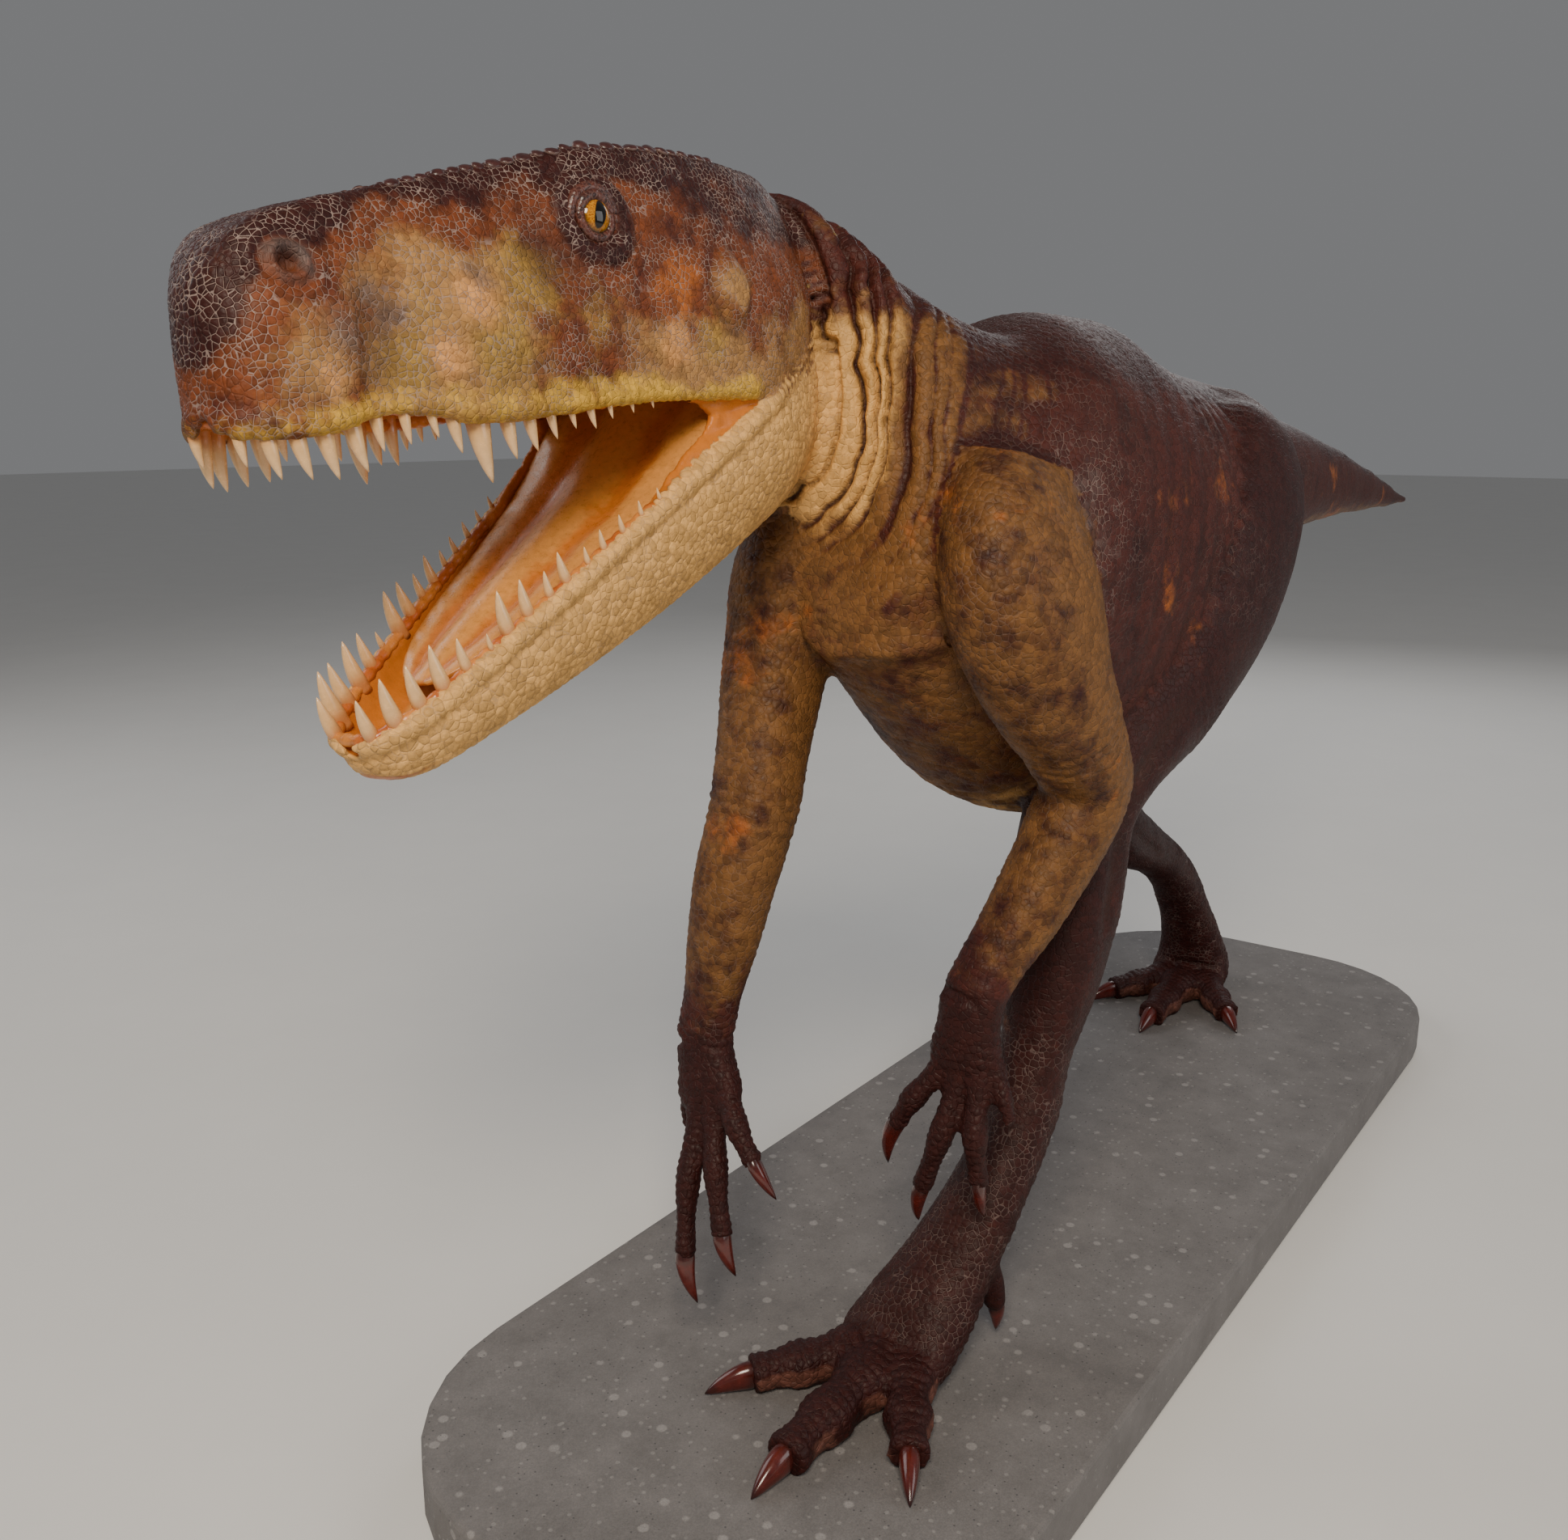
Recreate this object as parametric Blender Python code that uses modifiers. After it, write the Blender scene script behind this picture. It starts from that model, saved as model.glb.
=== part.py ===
"""Life-size museum figure of an early meat-eating dinosaur, mid-stride with its mouth wide open.

The animal faces -X, its left side is -Y and +Z is up, in metres. The origin lies under the middle of
the slab that it stands on, and the slab's underside is the plane z = 0. The figure is one cast skin,
parted here with thin cuts where a person would name its parts. Teeth belong to their jaw. Eyes,
tongue and claws are pieces of their own.
"""
import math
import random

import bmesh
import bpy
import numpy as np
from mathutils import Matrix, Vector

GAP = 0.0003                 # clearance between pieces that touch
LIMB_CLEARANCE = 0.0010      # between the trunk and the limbs cut to its side

# The slab under the feet
SLAB_LENGTH = 2.16
SLAB_WIDTH = 0.70
SLAB_MIDDLE = (0.06, 0.04)
SLAB_CORNER = 0.26
SLAB_THICKNESS = 0.07
SLAB_EDGE = 0.006
FLOOR = SLAB_THICKNESS + GAP  # level that the soles rest on

# Where the head is held, and how far the mouth opens
JAW_JOINT = Vector((-0.670, 0.159, 1.179))
HEAD_YAW = math.radians(3.8)
HEAD_PITCH = math.radians(-2.0)
HEAD_ROLL = math.radians(3.8)
GAPE = math.radians(28.0)
HEAD_BACK = -0.12            # plane where the head meets the neck, measured forward of the jaw joint
LIP_THICKNESS = 0.013

# Sections of the head, forward of the jaw joint: lip half width, lip height, cheek half width,
# cheek height, brow half width, brow height, midline height and palate height
HEAD_SECTIONS = [
    (-0.120, 0.090, 0.000, 0.102, 0.080, 0.068, 0.198, 0.208, 0.000),
    (-0.070, 0.112, 0.000, 0.122, 0.070, 0.080, 0.211, 0.217, 0.000),
    (0.000, 0.130, 0.000, 0.133, 0.060, 0.086, 0.217, 0.218, 0.000),
    (0.060, 0.125, 0.001, 0.127, 0.055, 0.085, 0.219, 0.215, 0.034),
    (0.120, 0.116, 0.000, 0.117, 0.055, 0.083, 0.218, 0.211, 0.044),
    (0.190, 0.106, 0.000, 0.107, 0.060, 0.076, 0.214, 0.206, 0.046),
    (0.250, 0.098, -0.005, 0.100, 0.055, 0.060, 0.202, 0.197, 0.044),
    (0.310, 0.090, -0.008, 0.093, 0.050, 0.050, 0.189, 0.186, 0.040),
    (0.360, 0.082, -0.007, 0.085, 0.045, 0.046, 0.177, 0.176, 0.036),
    (0.405, 0.072, 0.000, 0.074, 0.050, 0.042, 0.167, 0.167, 0.032),
    (0.440, 0.064, -0.001, 0.065, 0.055, 0.039, 0.159, 0.160, 0.028),
    (0.480, 0.062, -0.008, 0.063, 0.050, 0.037, 0.149, 0.151, 0.024),
    (0.515, 0.055, -0.012, 0.056, 0.050, 0.033, 0.136, 0.139, 0.018),
    (0.537, 0.042, -0.011, 0.043, 0.052, 0.026, 0.118, 0.122, 0.010),
    (0.549, 0.027, -0.008, 0.028, 0.055, 0.017, 0.097, 0.101, 0.002),
    (0.554, 0.012, -0.004, 0.013, 0.055, 0.008, 0.078, 0.081, 0.004),
]

# Sections of the lower jaw along its own length: lip half width, depth, height of the mouth's floor
JAW_SECTIONS = [
    (-0.150, 0.100, 0.142, 0.000),
    (-0.080, 0.118, 0.142, 0.000),
    (0.000, 0.131, 0.140, -0.003),
    (0.060, 0.126, 0.136, -0.022),
    (0.120, 0.118, 0.131, -0.034),
    (0.200, 0.106, 0.122, -0.038),
    (0.280, 0.093, 0.109, -0.038),
    (0.360, 0.079, 0.094, -0.036),
    (0.420, 0.068, 0.081, -0.034),
    (0.470, 0.057, 0.070, -0.030),
    (0.503, 0.045, 0.060, -0.024),
    (0.524, 0.029, 0.046, -0.016),
    (0.534, 0.012, 0.028, -0.012),
]

# Teeth of one side, front to back: place along the jaw and length out of the gum
UPPER_TEETH = [
    (0.545, 0.026), (0.530, 0.036), (0.512, 0.038), (0.490, 0.040), (0.466, 0.040), (0.444, 0.030),
    (0.420, 0.026), (0.398, 0.024), (0.378, 0.034), (0.352, 0.052), (0.326, 0.036), (0.304, 0.034),
    (0.282, 0.024), (0.260, 0.018), (0.238, 0.020), (0.216, 0.015), (0.190, 0.013), (0.166, 0.011),
]
LOWER_TEETH = [
    (0.522, 0.034), (0.504, 0.040), (0.482, 0.038), (0.458, 0.036), (0.434, 0.030), (0.408, 0.016),
    (0.384, 0.036), (0.360, 0.034), (0.334, 0.024), (0.312, 0.028), (0.286, 0.016), (0.264, 0.018),
    (0.238, 0.016), (0.212, 0.014), (0.186, 0.012),
]
TOOTH_ROOT = 0.010           # how deep each tooth stands in its jaw
TOOTH_SLENDER = 5.2          # length over radius
TOOTH_INSET = 0.003          # from the lip's outer face to the tooth

EYE_AT = Vector((0.205, 0.079, 0.152))
EYE_RADIUS = 0.023
LID_RING = 0.0235
LID_THICKNESS = 0.0075
NOSTRIL_AT = (0.500, 0.108)
NOSTRIL_RING = 0.012
BROW_SCUTES = 11
SCUTE_SPACING = 0.044
WEB_LENGTH = 0.055            # skin web at the corner of the mouth
WEB_THICKNESS = 0.008

# Sections from the neck to the tip of the tail: x, y, z, half width, height above and below the spine
TRUNK_SECTIONS = [
    (-0.530, 0.132, 1.214, 0.114, 0.178, 0.154),
    (-0.470, 0.065, 1.150, 0.135, 0.162, 0.182),
    (-0.400, 0.025, 1.090, 0.160, 0.200, 0.228),
    (-0.300, 0.000, 1.045, 0.184, 0.258, 0.285),
    (-0.150, 0.000, 1.000, 0.196, 0.290, 0.330),
    (0.010, 0.000, 0.990, 0.196, 0.262, 0.325),
    (0.150, 0.000, 1.005, 0.180, 0.232, 0.280),
    (0.290, 0.000, 1.025, 0.152, 0.200, 0.215),
    (0.430, 0.000, 1.045, 0.120, 0.163, 0.165),
    (0.620, 0.002, 1.055, 0.088, 0.122, 0.118),
    (0.900, 0.010, 1.050, 0.066, 0.092, 0.084),
    (1.250, 0.030, 1.030, 0.047, 0.066, 0.059),
    (1.650, 0.065, 1.000, 0.030, 0.042, 0.038),
    (2.050, 0.110, 0.970, 0.016, 0.021, 0.020),
    (2.360, 0.150, 0.950, 0.005, 0.006, 0.006),
]
NECK_SPANS = 2               # spans between sections that carry loose folds of skin
NECK_STEPS = 9               # rings from one section to the next, there and behind
TRUNK_STEPS = 3
FOLD_RINGS = 3               # rings from one fold's crest to the next
FOLD_DEPTH = 0.004
# Sections at which the trunk is parted: ends of neck, torso, pelvis and the first two tail lengths
TRUNK_PARTS = (2, 6, 8, 10, 12)

# Sections down each leg: x, y, z, half width across, reach to the rear and to the front
LEFT_LEG = [
    (0.330, -0.070, 1.165, 0.050, 0.080, 0.090),
    (0.275, -0.110, 1.080, 0.088, 0.140, 0.150),
    (0.130, -0.130, 0.960, 0.094, 0.140, 0.150),
    (-0.030, -0.132, 0.850, 0.084, 0.115, 0.115),
    (-0.160, -0.124, 0.775, 0.070, 0.090, 0.085),
    (-0.235, -0.116, 0.700, 0.064, 0.075, 0.072),
    (-0.265, -0.114, 0.610, 0.064, 0.090, 0.060),
    (-0.295, -0.114, 0.510, 0.058, 0.086, 0.048),
    (-0.325, -0.115, 0.415, 0.043, 0.052, 0.038),
    (-0.350, -0.114, 0.345, 0.042, 0.046, 0.040),
    (-0.402, -0.100, 0.265, 0.046, 0.044, 0.038),
    (-0.460, -0.080, 0.185, 0.057, 0.044, 0.040),
    (-0.512, -0.062, 0.128, 0.070, 0.044, 0.042),
    (-0.552, -0.055, 0.104, 0.074, 0.034, 0.028),
    (-0.592, -0.052, 0.092, 0.050, 0.022, 0.014),
]
RIGHT_LEG = [
    (0.300, 0.070, 1.170, 0.050, 0.080, 0.085),
    (0.285, 0.110, 1.080, 0.088, 0.135, 0.145),
    (0.270, 0.130, 0.930, 0.094, 0.130, 0.135),
    (0.265, 0.132, 0.790, 0.084, 0.105, 0.110),
    (0.275, 0.128, 0.660, 0.070, 0.080, 0.085),
    (0.320, 0.122, 0.555, 0.064, 0.072, 0.068),
    (0.410, 0.118, 0.485, 0.060, 0.070, 0.056),
    (0.510, 0.114, 0.435, 0.050, 0.058, 0.046),
    (0.610, 0.112, 0.390, 0.043, 0.046, 0.038),
    (0.685, 0.110, 0.345, 0.042, 0.044, 0.040),
    (0.752, 0.106, 0.275, 0.046, 0.040, 0.038),
    (0.806, 0.102, 0.190, 0.056, 0.040, 0.040),
    (0.824, 0.100, 0.132, 0.068, 0.040, 0.044),
    (0.800, 0.098, 0.104, 0.072, 0.034, 0.028),
    (0.762, 0.096, 0.092, 0.050, 0.022, 0.014),
]
LEG_STEPS = 2
KNEE, ANKLE = 10, 18

# Where each foot's toes start, and each toe's turn inward of straight ahead, length and half width
LEFT_MIDFOOT = Vector((-0.520, -0.058, 0.108))
RIGHT_MIDFOOT = Vector((0.835, 0.100, 0.108))
TOES = {
    "inner": (math.radians(39.0), 0.190, 0.034),
    "middle": (math.radians(2.0), 0.238, 0.037),
    "outer": (math.radians(-32.0), 0.188, 0.034),
}
TOE_PADS = 3
TOE_CLAW = 0.056
SPUR_LENGTH = 0.058
SPUR_CLAW = 0.032
# Root of the spur toe, from the midfoot
SPUR_AT = {"left": Vector((0.085, -0.058, 0.062)), "right": Vector((0.008, 0.040, 0.066))}

# Sections down each arm, like those of the legs
LEFT_ARM = [
    (-0.420, -0.105, 1.100, 0.055, 0.085, 0.090),
    (-0.465, -0.142, 1.005, 0.072, 0.105, 0.115),
    (-0.450, -0.166, 0.910, 0.066, 0.075, 0.088),
    (-0.400, -0.178, 0.830, 0.054, 0.060, 0.060),
    (-0.352, -0.176, 0.768, 0.050, 0.052, 0.052),
    (-0.378, -0.164, 0.705, 0.048, 0.050, 0.048),
    (-0.425, -0.143, 0.630, 0.042, 0.042, 0.040),
    (-0.465, -0.124, 0.575, 0.036, 0.032, 0.031),
    (-0.489, -0.113, 0.537, 0.038, 0.026, 0.026),
]
RIGHT_ARM = [
    (-0.420, 0.105, 1.080, 0.055, 0.080, 0.085),
    (-0.460, 0.140, 0.990, 0.068, 0.095, 0.095),
    (-0.500, 0.146, 0.900, 0.060, 0.066, 0.066),
    (-0.538, 0.138, 0.810, 0.052, 0.054, 0.053),
    (-0.566, 0.132, 0.735, 0.049, 0.049, 0.048),
    (-0.588, 0.140, 0.660, 0.047, 0.047, 0.046),
    (-0.600, 0.152, 0.580, 0.042, 0.038, 0.038),
    (-0.606, 0.164, 0.510, 0.034, 0.029, 0.029),
    (-0.611, 0.172, 0.457, 0.036, 0.025, 0.025),
]
ARM_STEPS = 2
ELBOW, WRIST = 8, 16

# Each hand: middle of the knuckles, then each finger from knuckle over joint to claw root, claw tip
LEFT_HAND = {
    "knuckles": (-0.494, -0.108, 0.445),
    "thumb": [(-0.494, -0.086, 0.452), (-0.509, -0.052, 0.406), (-0.508, -0.030, 0.368), (-0.502, -0.006, 0.302)],
    "second": [(-0.495, -0.108, 0.450), (-0.516, -0.094, 0.376), (-0.512, -0.068, 0.300), (-0.504, -0.046, 0.240)],
    "third": [(-0.495, -0.132, 0.452), (-0.514, -0.136, 0.386), (-0.506, -0.138, 0.324), (-0.494, -0.134, 0.266)],
    "fourth": [(-0.490, -0.146, 0.466), (-0.498, -0.162, 0.432), (-0.497, -0.170, 0.404), None],
}
RIGHT_HAND = {
    "knuckles": (-0.630, 0.146, 0.385),
    "thumb": [(-0.622, 0.132, 0.420), (-0.646, 0.098, 0.382), (-0.650, 0.070, 0.346), (-0.650, 0.040, 0.308)],
    "second": [(-0.630, 0.142, 0.395), (-0.660, 0.118, 0.326), (-0.676, 0.097, 0.258), (-0.682, 0.074, 0.214)],
    "third": [(-0.630, 0.160, 0.395), (-0.666, 0.154, 0.306), (-0.688, 0.142, 0.222), (-0.694, 0.110, 0.176)],
    "fourth": [(-0.618, 0.174, 0.406), (-0.622, 0.188, 0.372), (-0.620, 0.190, 0.344), None],
}
FINGER_HALF = 0.016


def material(name, colour, roughness, metallic=0.0):
    """A plain Principled finish."""
    result = bpy.data.materials.new(name)
    result.use_nodes = True
    shader = result.node_tree.nodes["Principled BSDF"]
    shader.inputs["Base Color"].default_value = (*colour, 1.0)
    shader.inputs["Roughness"].default_value = roughness
    shader.inputs["Metallic"].default_value = metallic
    result.diffuse_color = (*colour, 1.0)
    return result


def clear_scene():
    for item in list(bpy.data.objects):
        bpy.data.objects.remove(item)


def smooth_rows(rows, steps):
    """Rows of numbers on a Catmull-Rom curve, with steps spans from each row to the next."""
    rows = np.array(rows, float)
    ends = np.vstack([2 * rows[0] - rows[1], rows, 2 * rows[-1] - rows[-2]])
    result = []
    for before, start, end, after in zip(ends, ends[1:], ends[2:], ends[3:]):
        for step in range(steps):
            t = step / steps
            result.append(0.5 * (2 * start + (end - before) * t
                                 + (2 * before - 5 * start + 4 * end - after) * t ** 2
                                 + (3 * start - before - 3 * end + after) * t ** 3))
    result.append(rows[-1])
    return result


def oval(centre, across, up, half, above, below, sides=16, power=2.2):
    """Points of a rounded section, whose reach above and below its centre may differ."""
    points = []
    for index in range(sides):
        angle = math.tau * index / sides
        c, s = math.cos(angle), math.sin(angle)
        wide = half * math.copysign(abs(c) ** (2 / power), c)
        high = (above if s > 0 else below) * math.copysign(abs(s) ** (2 / power), s)
        points.append(centre + across * wide + up * high)
    return points


def rings_along(rows, sides, power=2.2, side=Vector((0, -1, 0))):
    """A section at each row of x, y, z, half width, above and below, square to the path."""
    centres = [Vector(row[:3]) for row in rows]
    rings = []
    for index, row in enumerate(rows):
        ahead = centres[min(index + 1, len(rows) - 1)] - centres[max(index - 1, 0)]
        ahead.normalize()
        across = (side - ahead * side.dot(ahead)).normalized()
        rings.append(oval(centres[index], across, across.cross(ahead), *row[3:6], sides, power))
    return rings


def loft(name, rings, finish):
    """A closed body through rings that have the same number of points."""
    shape = bmesh.new()
    loops = [[shape.verts.new(point) for point in ring] for ring in rings]
    count = len(loops[0])
    for first, second in zip(loops, loops[1:]):
        for index in range(count):
            after = (index + 1) % count
            shape.faces.new((first[index], first[after], second[after]))
            shape.faces.new((first[index], second[after], second[index]))
    shape.faces.new(loops[0])
    shape.faces.new(loops[-1])
    bmesh.ops.recalc_face_normals(shape, faces=shape.faces)
    mesh = bpy.data.meshes.new(name)
    shape.to_mesh(mesh)
    shape.free()
    mesh.shade_smooth()
    mesh.set_sharp_from_angle(angle=math.radians(50.0))
    mesh.materials.append(finish)
    result = bpy.data.objects.new(name, mesh)
    bpy.context.scene.collection.objects.link(result)
    return result


def moved(ring, shift):
    return [point + shift for point in ring]


def start_after(rings):
    """The same rings, the first drawn back from the piece before it by the gap."""
    centre = sum(rings[0], Vector()) / len(rings[0])
    following = sum(rings[1], Vector()) / len(rings[1])
    return [moved(rings[0], (following - centre).normalized() * GAP)] + rings[1:]


def largest_piece(shape):
    """Keeps the largest closed surface of a mesh."""
    left = set(shape.verts)
    pieces = []
    while left:
        reached = [left.pop()]
        for vertex in reached:
            for edge in vertex.link_edges:
                other = edge.other_vert(vertex)
                if other in left:
                    left.remove(other)
                    reached.append(other)
        pieces.append(reached)
    pieces.sort(key=len)
    for piece in pieces[:-1]:
        bmesh.ops.delete(shape, geom=piece, context="VERTS")


def edit_mesh(body, change):
    """Runs a change on the body's mesh in the body's own frame."""
    shape = bmesh.new()
    shape.from_mesh(body.data)
    change(shape)
    shape.to_mesh(body.data)
    shape.free()


def apply_modifiers(body):
    """Bakes the modifiers into the body's mesh, and keeps its largest closed surface."""
    bpy.context.view_layer.update()
    evaluated = body.evaluated_get(bpy.context.evaluated_depsgraph_get())
    mesh = bpy.data.meshes.new_from_object(evaluated)
    body.modifiers.clear()
    old = body.data
    body.data = mesh
    mesh.name = body.name
    bpy.data.meshes.remove(old)
    edit_mesh(body, largest_piece)


def fuse(body, pieces):
    """Joins closed pieces to a body with one union."""
    group = bpy.data.collections.new(body.name + "_pieces")
    for piece in pieces:
        group.objects.link(piece)
    union = body.modifiers.new("union", "BOOLEAN")
    union.operation = "UNION"
    union.operand_type = "COLLECTION"
    union.collection = group
    union.solver = "EXACT"
    apply_modifiers(body)
    for piece in pieces:
        bpy.data.objects.remove(piece)
    bpy.data.collections.remove(group)


def carve(body, cutter):
    """Takes a closed cutter out of a body."""
    cutter.hide_render = True
    cutter.display_type = "WIRE"
    cut = body.modifiers.new("cut", "BOOLEAN")
    cut.operation = "DIFFERENCE"
    cut.object = cutter
    cut.solver = "EXACT"
    apply_modifiers(body)


def swollen(body, by):
    """A cutter with the body's shape, its surface moved outward."""
    copy = bpy.data.objects.new(body.name + "_cutter", body.data.copy())
    bpy.context.scene.collection.objects.link(copy)

    def change(shape):
        shape.normal_update()
        for vertex, normal in [(vertex, vertex.normal.copy()) for vertex in shape.verts]:
            vertex.co += normal * by

    edit_mesh(copy, change)
    return copy


def slice_off(body, point, outward):
    """Removes what lies beyond a plane, and closes the cut."""
    inverse = body.matrix_world.inverted()
    place = inverse @ Vector(point)
    normal = (inverse.to_3x3() @ Vector(outward)).normalized()

    def change(shape):
        everything = shape.verts[:] + shape.edges[:] + shape.faces[:]
        bmesh.ops.bisect_plane(shape, geom=everything, dist=1e-6, plane_co=place,
                               plane_no=normal, clear_outer=True)
        rim = [edge for edge in shape.edges if edge.is_boundary]
        bmesh.ops.holes_fill(shape, edges=rim)
        bmesh.ops.recalc_face_normals(shape, faces=shape.faces)

    edit_mesh(body, change)


def sphere(name, radius, place, finish, segments=14, rings=9, stretch=(1, 1, 1)):
    bpy.ops.mesh.primitive_uv_sphere_add(segments=segments, ring_count=rings, radius=radius)
    result = bpy.context.object
    result.name = name
    result.data.name = name
    result.data.transform(Matrix.Diagonal((*stretch, 1)))
    result.data.shade_smooth()
    result.data.materials.append(finish)
    result.matrix_world = place
    return result


def torus(name, major, minor, place, finish):
    bpy.ops.mesh.primitive_torus_add(major_segments=12, minor_segments=6,
                                     major_radius=major, minor_radius=minor)
    result = bpy.context.object
    result.name = name
    result.data.materials.append(finish)
    result.matrix_world = place
    return result


def head_frame():
    """Forward, left and up of the head as the columns of a matrix, with the jaw joint as origin."""
    forward = Vector((-math.cos(HEAD_YAW) * math.cos(HEAD_PITCH),
                      -math.sin(HEAD_YAW) * math.cos(HEAD_PITCH), math.sin(HEAD_PITCH)))
    level = Vector((math.sin(HEAD_YAW), -math.cos(HEAD_YAW), 0.0))
    left = (Matrix.Rotation(HEAD_ROLL, 3, forward) @ level).normalized()
    up = forward.cross(left)
    columns = Matrix((forward, left, up)).transposed().to_4x4()
    return Matrix.Translation(JAW_JOINT) @ columns


def jaw_frame():
    """The head's frame swung down about the joint by the gape."""
    return head_frame() @ Matrix.Rotation(GAPE, 4, "Y")


def both_sides(half):
    """A closed ring from points of the left half, listed from the lower midline to the upper one."""
    mirrored = [(-wide, high) for wide, high in reversed(half[1:-1])]
    return half + mirrored


def head_ring(row):
    """One section of the upper head, with its palate set up between the lips."""
    along, lip, lip_z, cheek, cheek_z, brow, brow_z, mid_z, palate = row
    palate = max(palate, 0.0)
    inner = max(lip - LIP_THICKNESS, lip * 0.45)
    half = [
        (0.0, palate + 0.002),
        (inner * 0.62, palate),
        (inner, min(palate, lip_z + 0.012)),
        (inner + 0.2 * (lip - inner), lip_z + 0.002),
        (lip - 0.15 * (lip - inner), lip_z),
        (lip, lip_z + 0.010),
        (cheek, lip_z + (cheek_z - lip_z) * 0.55),
        (cheek * 1.01, cheek_z + (brow_z - cheek_z) * 0.10),
        (cheek + (brow - cheek) * 0.25, cheek_z + (brow_z - cheek_z) * 0.48),
        (cheek + (brow - cheek) * 0.62, cheek_z + (brow_z - cheek_z) * 0.80),
        (brow, brow_z),
        (brow * 0.52, mid_z + (brow_z - mid_z) * 0.35),
        (0.0, mid_z),
    ]
    return [Vector((along, wide, high)) for wide, high in both_sides(half)]


def jaw_ring(row):
    """One section of the lower jaw, a trough with a thick lip."""
    along, lip, depth, floor = row
    inner = max(lip - LIP_THICKNESS, lip * 0.4)
    half = [
        (0.0, floor),
        (inner * 0.62, floor),
        (inner * 0.92, floor * 0.45),
        (inner, -0.001),
        (lip - 0.35 * (lip - inner), 0.002),
        (lip, -0.006),
    ]
    for angle in (20, 42, 64):
        c, s = math.cos(math.radians(angle)), math.sin(math.radians(angle))
        half.append((lip * c ** 0.6, -0.006 - (depth - 0.006) * s ** 0.9))
    half.append((0.0, -depth))
    turned = [(wide, high) for wide, high in reversed(half)]
    return [Vector((along, wide, high)) for wide, high in both_sides(turned)]


def row_at(rows, along):
    """The numbers of a table of sections at any place along it."""
    table = np.array(rows)
    order = np.argsort(table[:, 0])
    table = table[order]
    return [float(np.interp(along, table[:, 0], table[:, column])) for column in range(table.shape[1])]


def tooth(name, root, out, back, length, finish):
    """A curved cone: it stands in the gum at root, points out and its tip bends back."""
    radius = length / TOOTH_SLENDER
    across = out.cross(back).normalized()
    rings = []
    for share, thick in ((-TOOTH_ROOT / length, 1.0), (0.5, 0.76), (0.985, 0.10)):
        centre = root + out * length * share + back * length * 0.16 * max(share, 0.0) ** 2
        rings.append(oval(centre, across, back, radius * thick, radius * thick * 1.15,
                          radius * thick * 1.15, sides=5, power=2.0))
    return loft(name, rings, finish)


def make_teeth(rows, sections, place, downward, finish):
    """Both sides of a tooth row, set just inside the lip and splayed a little outward."""
    draw = random.Random(7 if downward else 11)
    teeth = []
    for side in (1, -1):
        for number, (along, length) in enumerate(rows):
            row = row_at(sections, along)
            gum = row[2] + 0.004 if downward else 0.001
            size = length * draw.uniform(0.92, 1.06)
            inset = TOOTH_INSET + size / TOOTH_SLENDER
            root = Vector((along, side * (row[1] - inset), gum))
            splay = side * draw.uniform(0.02, 0.10)
            out = Vector((draw.uniform(-0.05, 0.08), splay, -1.0 if downward else 1.0)).normalized()
            back = Vector((-1.0, 0.0, 0.0))
            back = (back - out * back.dot(out)).normalized()
            piece = tooth(f"tooth_{side}_{number}", root, out, back, size, finish)
            piece.matrix_world = place
            teeth.append(piece)
    return teeth


def outer_point(along, height):
    """Half width of the head's left side at a place along it and a height above the lips."""
    ring = head_ring(row_at(HEAD_SECTIONS, along))
    half = [(point.z, point.y) for point in ring[4:11]]
    return float(np.interp(height, [z for z, _ in half], [y for _, y in half]))


def make_head(skin, ivory, eye_finish):
    """The upper head with lids, nostrils, brow scutes and the upper teeth, and both eyes."""
    place = head_frame()
    head = loft("head", [head_ring(row) for row in smooth_rows(HEAD_SECTIONS, 2)], skin)
    head.matrix_world = place
    pieces = []
    eyes = []
    for side in (1, -1):
        centre = Vector((EYE_AT.x, side * EYE_AT.y, EYE_AT.z))
        facing = Vector((0.18, side, 0.10)).normalized().to_track_quat("Z", "X").to_matrix().to_4x4()
        lid_at = centre + Vector((0.18, side, 0.10)).normalized() * EYE_RADIUS * 0.52
        lid = torus("lid", LID_RING, LID_THICKNESS, place @ Matrix.Translation(lid_at) @ facing, skin)
        pieces.append(lid)
        nose_x, nose_z = NOSTRIL_AT
        nose_at = Vector((nose_x, side * (outer_point(nose_x, nose_z) - 0.002), nose_z))
        nose_turn = Vector((0.35, side, 0.30)).to_track_quat("Z", "X").to_matrix().to_4x4()
        pieces.append(torus("nostril_rim", NOSTRIL_RING, 0.0055,
                            place @ Matrix.Translation(nose_at) @ nose_turn, skin))
        for number in range(BROW_SCUTES):
            along = 0.450 - SCUTE_SPACING * number
            row = row_at(HEAD_SECTIONS, along)
            size = 0.011 + 0.004 * math.sin(math.pi * number / BROW_SCUTES)
            spot = Vector((along, side * row[5] * 0.97, row[6] - 0.001))
            pieces.append(sphere("scute", size, place @ Matrix.Translation(spot), skin, 6, 3,
                                 (1.35, 0.9, 0.9)))
    pieces += make_teeth(UPPER_TEETH, HEAD_SECTIONS, place, True, ivory)
    fuse(head, pieces)
    for side, word in ((1, "left"), (-1, "right")):
        centre = Matrix.Translation(Vector((EYE_AT.x, side * EYE_AT.y, EYE_AT.z)))
        socket = sphere("socket", EYE_RADIUS + 2 * GAP, place @ centre, skin, 18, 12)
        carve(head, socket)
        bpy.data.objects.remove(socket)
        eyes.append(sphere("eye_" + word, EYE_RADIUS, place @ centre, eye_finish, 14, 8))
        nose_x, nose_z = NOSTRIL_AT
        nose_at = Vector((nose_x, side * outer_point(nose_x, nose_z), nose_z))
        hole = sphere("hole", 0.0075, place @ Matrix.Translation(nose_at), skin, 8, 6, (1, 1.4, 1))
        carve(head, hole)
        bpy.data.objects.remove(hole)
    return [head] + eyes


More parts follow.
